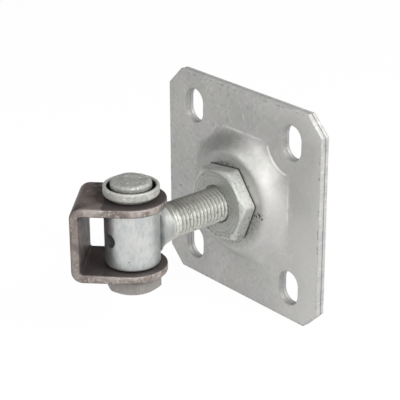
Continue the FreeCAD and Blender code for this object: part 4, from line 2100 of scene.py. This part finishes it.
@dataclass
class Studio:
    """Pale floor, soft lamps, dark cards beside the hinge, and the camera."""

    azimuth_deg: float = 49.67
    elevation_deg: float = 23.49
    roll_deg: float = -0.30
    distance: float = 644.4
    aim_right: float = -21.8
    aim_up: float = -3.23
    lens: float = 127.9
    sensor_width: float = 36.0
    nearest: float = 0.05
    floor_size: float = 8.0
    floor_shade: float = 0.9
    floor_glow: float = 0.96
    ambient: float = 0.5
    lamps: tuple[SoftBox, ...] = (
        SoftBox("front_box", 55.0, 32.0, 0.7, 0.5, 0.4, 2.75),
        SoftBox("brow_box", -18.0, 35.0, 0.5, 0.24, 0.2, 0.45),
        SoftBox("side_box", 106.0, 40.0, 0.8, 0.4, 0.4, 5.8),
    )
    cards: tuple[DarkCard, ...] = (
        DarkCard("left_card", -75.0, 28.0, 0.9, 1.15),
        DarkCard("back_card", -128.0, 24.0, 0.9, 1.2),
    )

    def camera(self) -> None:
        """Camera at the fitted place, which is aimed beside and below the origin."""
        right, up, back = view_axes(self.azimuth_deg, self.elevation_deg, self.roll_deg)
        spot = back * self.distance + right * self.aim_right + up * self.aim_up
        data = bpy.data.cameras.new("camera")
        data.lens = self.lens
        data.sensor_width = self.sensor_width
        data.clip_start = self.nearest
        holder = bpy.data.objects.new("camera", data)
        holder.matrix_world = placed(spot * MM, right, up, back)
        bpy.context.scene.collection.objects.link(holder)
        bpy.context.scene.camera = holder

    def floor(self) -> None:
        """Wide pale floor at the plate's lower edge, white but for a soft shadow, and clear from below."""
        material = bpy.data.materials.new("pale_floor")
        stage = StageTree.of_material(material)
        glowing = stage.math("MULTIPLY", stage.seen_directly(), self.floor_glow)
        matt = stage.shader("ShaderNodeBsdfDiffuse", self.floor_shade)
        above = stage.mix(glowing, matt, stage.shader("ShaderNodeEmission", 1.0))
        side = stage.tree.nodes.new("ShaderNodeNewGeometry")
        clear = stage.shader("ShaderNodeBsdfTransparent")
        stage.show(stage.mix(side.outputs["Backfacing"], above, clear), "Material Output")
        half = self.floor_size / 2.0
        level = SOLID_BOX[0][2]
        corners = [(-half, -half, level), (half, -half, level), (half, half, level), (-half, half, level)]
        stage_sheet("floor", corners, material)

    def world(self) -> None:
        """White surroundings to the camera and to reflections, softer as a light."""
        world = bpy.data.worlds.new("studio")
        bpy.context.scene.world = world
        world.use_nodes = True
        stage = StageTree(world.node_tree)
        soft = world.node_tree.nodes["Background"]
        soft.inputs["Color"].default_value = (1.0, 1.0, 1.0, 1.0)
        soft.inputs["Strength"].default_value = self.ambient
        white = stage.shader("ShaderNodeBackground", 1.0)
        stage.show(stage.mix(stage.seen_directly(), soft.outputs["Background"], white), "World Output")

    def build(self) -> None:
        """Set the stage."""
        bpy.context.scene.view_settings.view_transform = "Standard"
        self.camera()
        self.floor()
        self.world()
        for prop in (*self.lamps, *self.cards):
            prop.build()
        LOG.info("studio ready with %d lamps and %d cards", len(self.lamps), len(self.cards))


PLATE_ZINC = PlateFinish(
    "plate_zinc", (0.375, 0.373, 0.365), (0.425, 0.412, 0.402), (0.39, 0.405, 0.37),
    cloud=26.0, grain=1.8, grain_depth=0.22)
RIM_ZINC = RimFinish(
    "punched_rim_zinc", (0.37, 0.37, 0.362), (0.42, 0.412, 0.40), (0.34, 0.345, 0.335),
    cloud=6.0, grain=1.0, grain_depth=0.3, streak=(1.0, 4.0, 1.0), roughness=0.6, metallic=0.5)
SLOT_ZINC = ZincFinish(
    "punched_slot_zinc", (0.34, 0.34, 0.335), (0.38, 0.37, 0.36), (0.31, 0.32, 0.31),
    cloud=6.0, grain=1.0, grain_depth=0.15, streak=(1.0, 4.0, 1.0), roughness=0.6, metallic=0.6)
NUT_ZINC = NutFinish(
    "nut_zinc", (0.44, 0.445, 0.43), (0.49, 0.485, 0.46), (0.40, 0.42, 0.39),
    cloud=9.0, grain_depth=0.3, roughness=0.45, metallic=0.55)
EYE_ZINC = EyeFinish(
    "eye_zinc", (0.535, 0.55, 0.543), (0.60, 0.602, 0.585), (0.47, 0.495, 0.50),
    cloud=8.0, grain=0.9, grain_depth=0.26, streak=(1.0, 1.0, 3.0), roughness=0.40, metallic=0.92)
THREAD_ZINC = ThreadFinish(
    "thread_zinc", (0.48, 0.49, 0.445), (0.52, 0.525, 0.48), (0.44, 0.455, 0.415),
    cloud=8.0, grain=0.8, grain_depth=0.35, roughness=0.55, metallic=0.65)
PIN_ZINC = RivetFinish(
    "pin_zinc", (0.285, 0.285, 0.27), (0.34, 0.335, 0.315), (0.24, 0.245, 0.232),
    cloud=5.0, grain=0.7, grain_depth=0.5, specks=0.2, roughness=0.62, metallic=0.62, relief=0.16)
WASHER_ZINC = RivetFinish(
    "washer_zinc", (0.355, 0.36, 0.338), (0.40, 0.395, 0.37), (0.33, 0.34, 0.32),
    cloud=8.0, grain_depth=0.35, roughness=0.65, metallic=0.65)
MILL_SCALE = StripFinish(
    "mill_scale", (0.152, 0.122, 0.118), (0.22, 0.185, 0.175), (0.055, 0.046, 0.045),
    worn_share=0.4, worn_size=3.0, roughness=0.5, pin_shadow_share=0.95, inner_shade_share=0.7)
SHEARED_EDGE = StripFinish(
    "sheared_edge", (0.29, 0.252, 0.232), (0.44, 0.40, 0.372), (0.12, 0.10, 0.092),
    worn_share=0.8, worn_size=1.3, roughness=0.6, web_share=0.4, rust_share=0.15)


def main() -> None:
    """Build the sub-assemblies in order, then the studio, and note the sizes."""
    logging.basicConfig(level=logging.INFO)
    WallPlates(PLATE_ZINC, RIM_ZINC, SLOT_ZINC).build()
    CaptiveNut(NUT_ZINC).build()
    EyeBolt(EYE_ZINC, THREAD_ZINC).build()
    WeldBracket(MILL_SCALE, SHEARED_EDGE).build()
    PivotPin(PIN_ZINC, WASHER_ZINC).build()
    Studio().build()


if __name__ == "__main__":
    main()
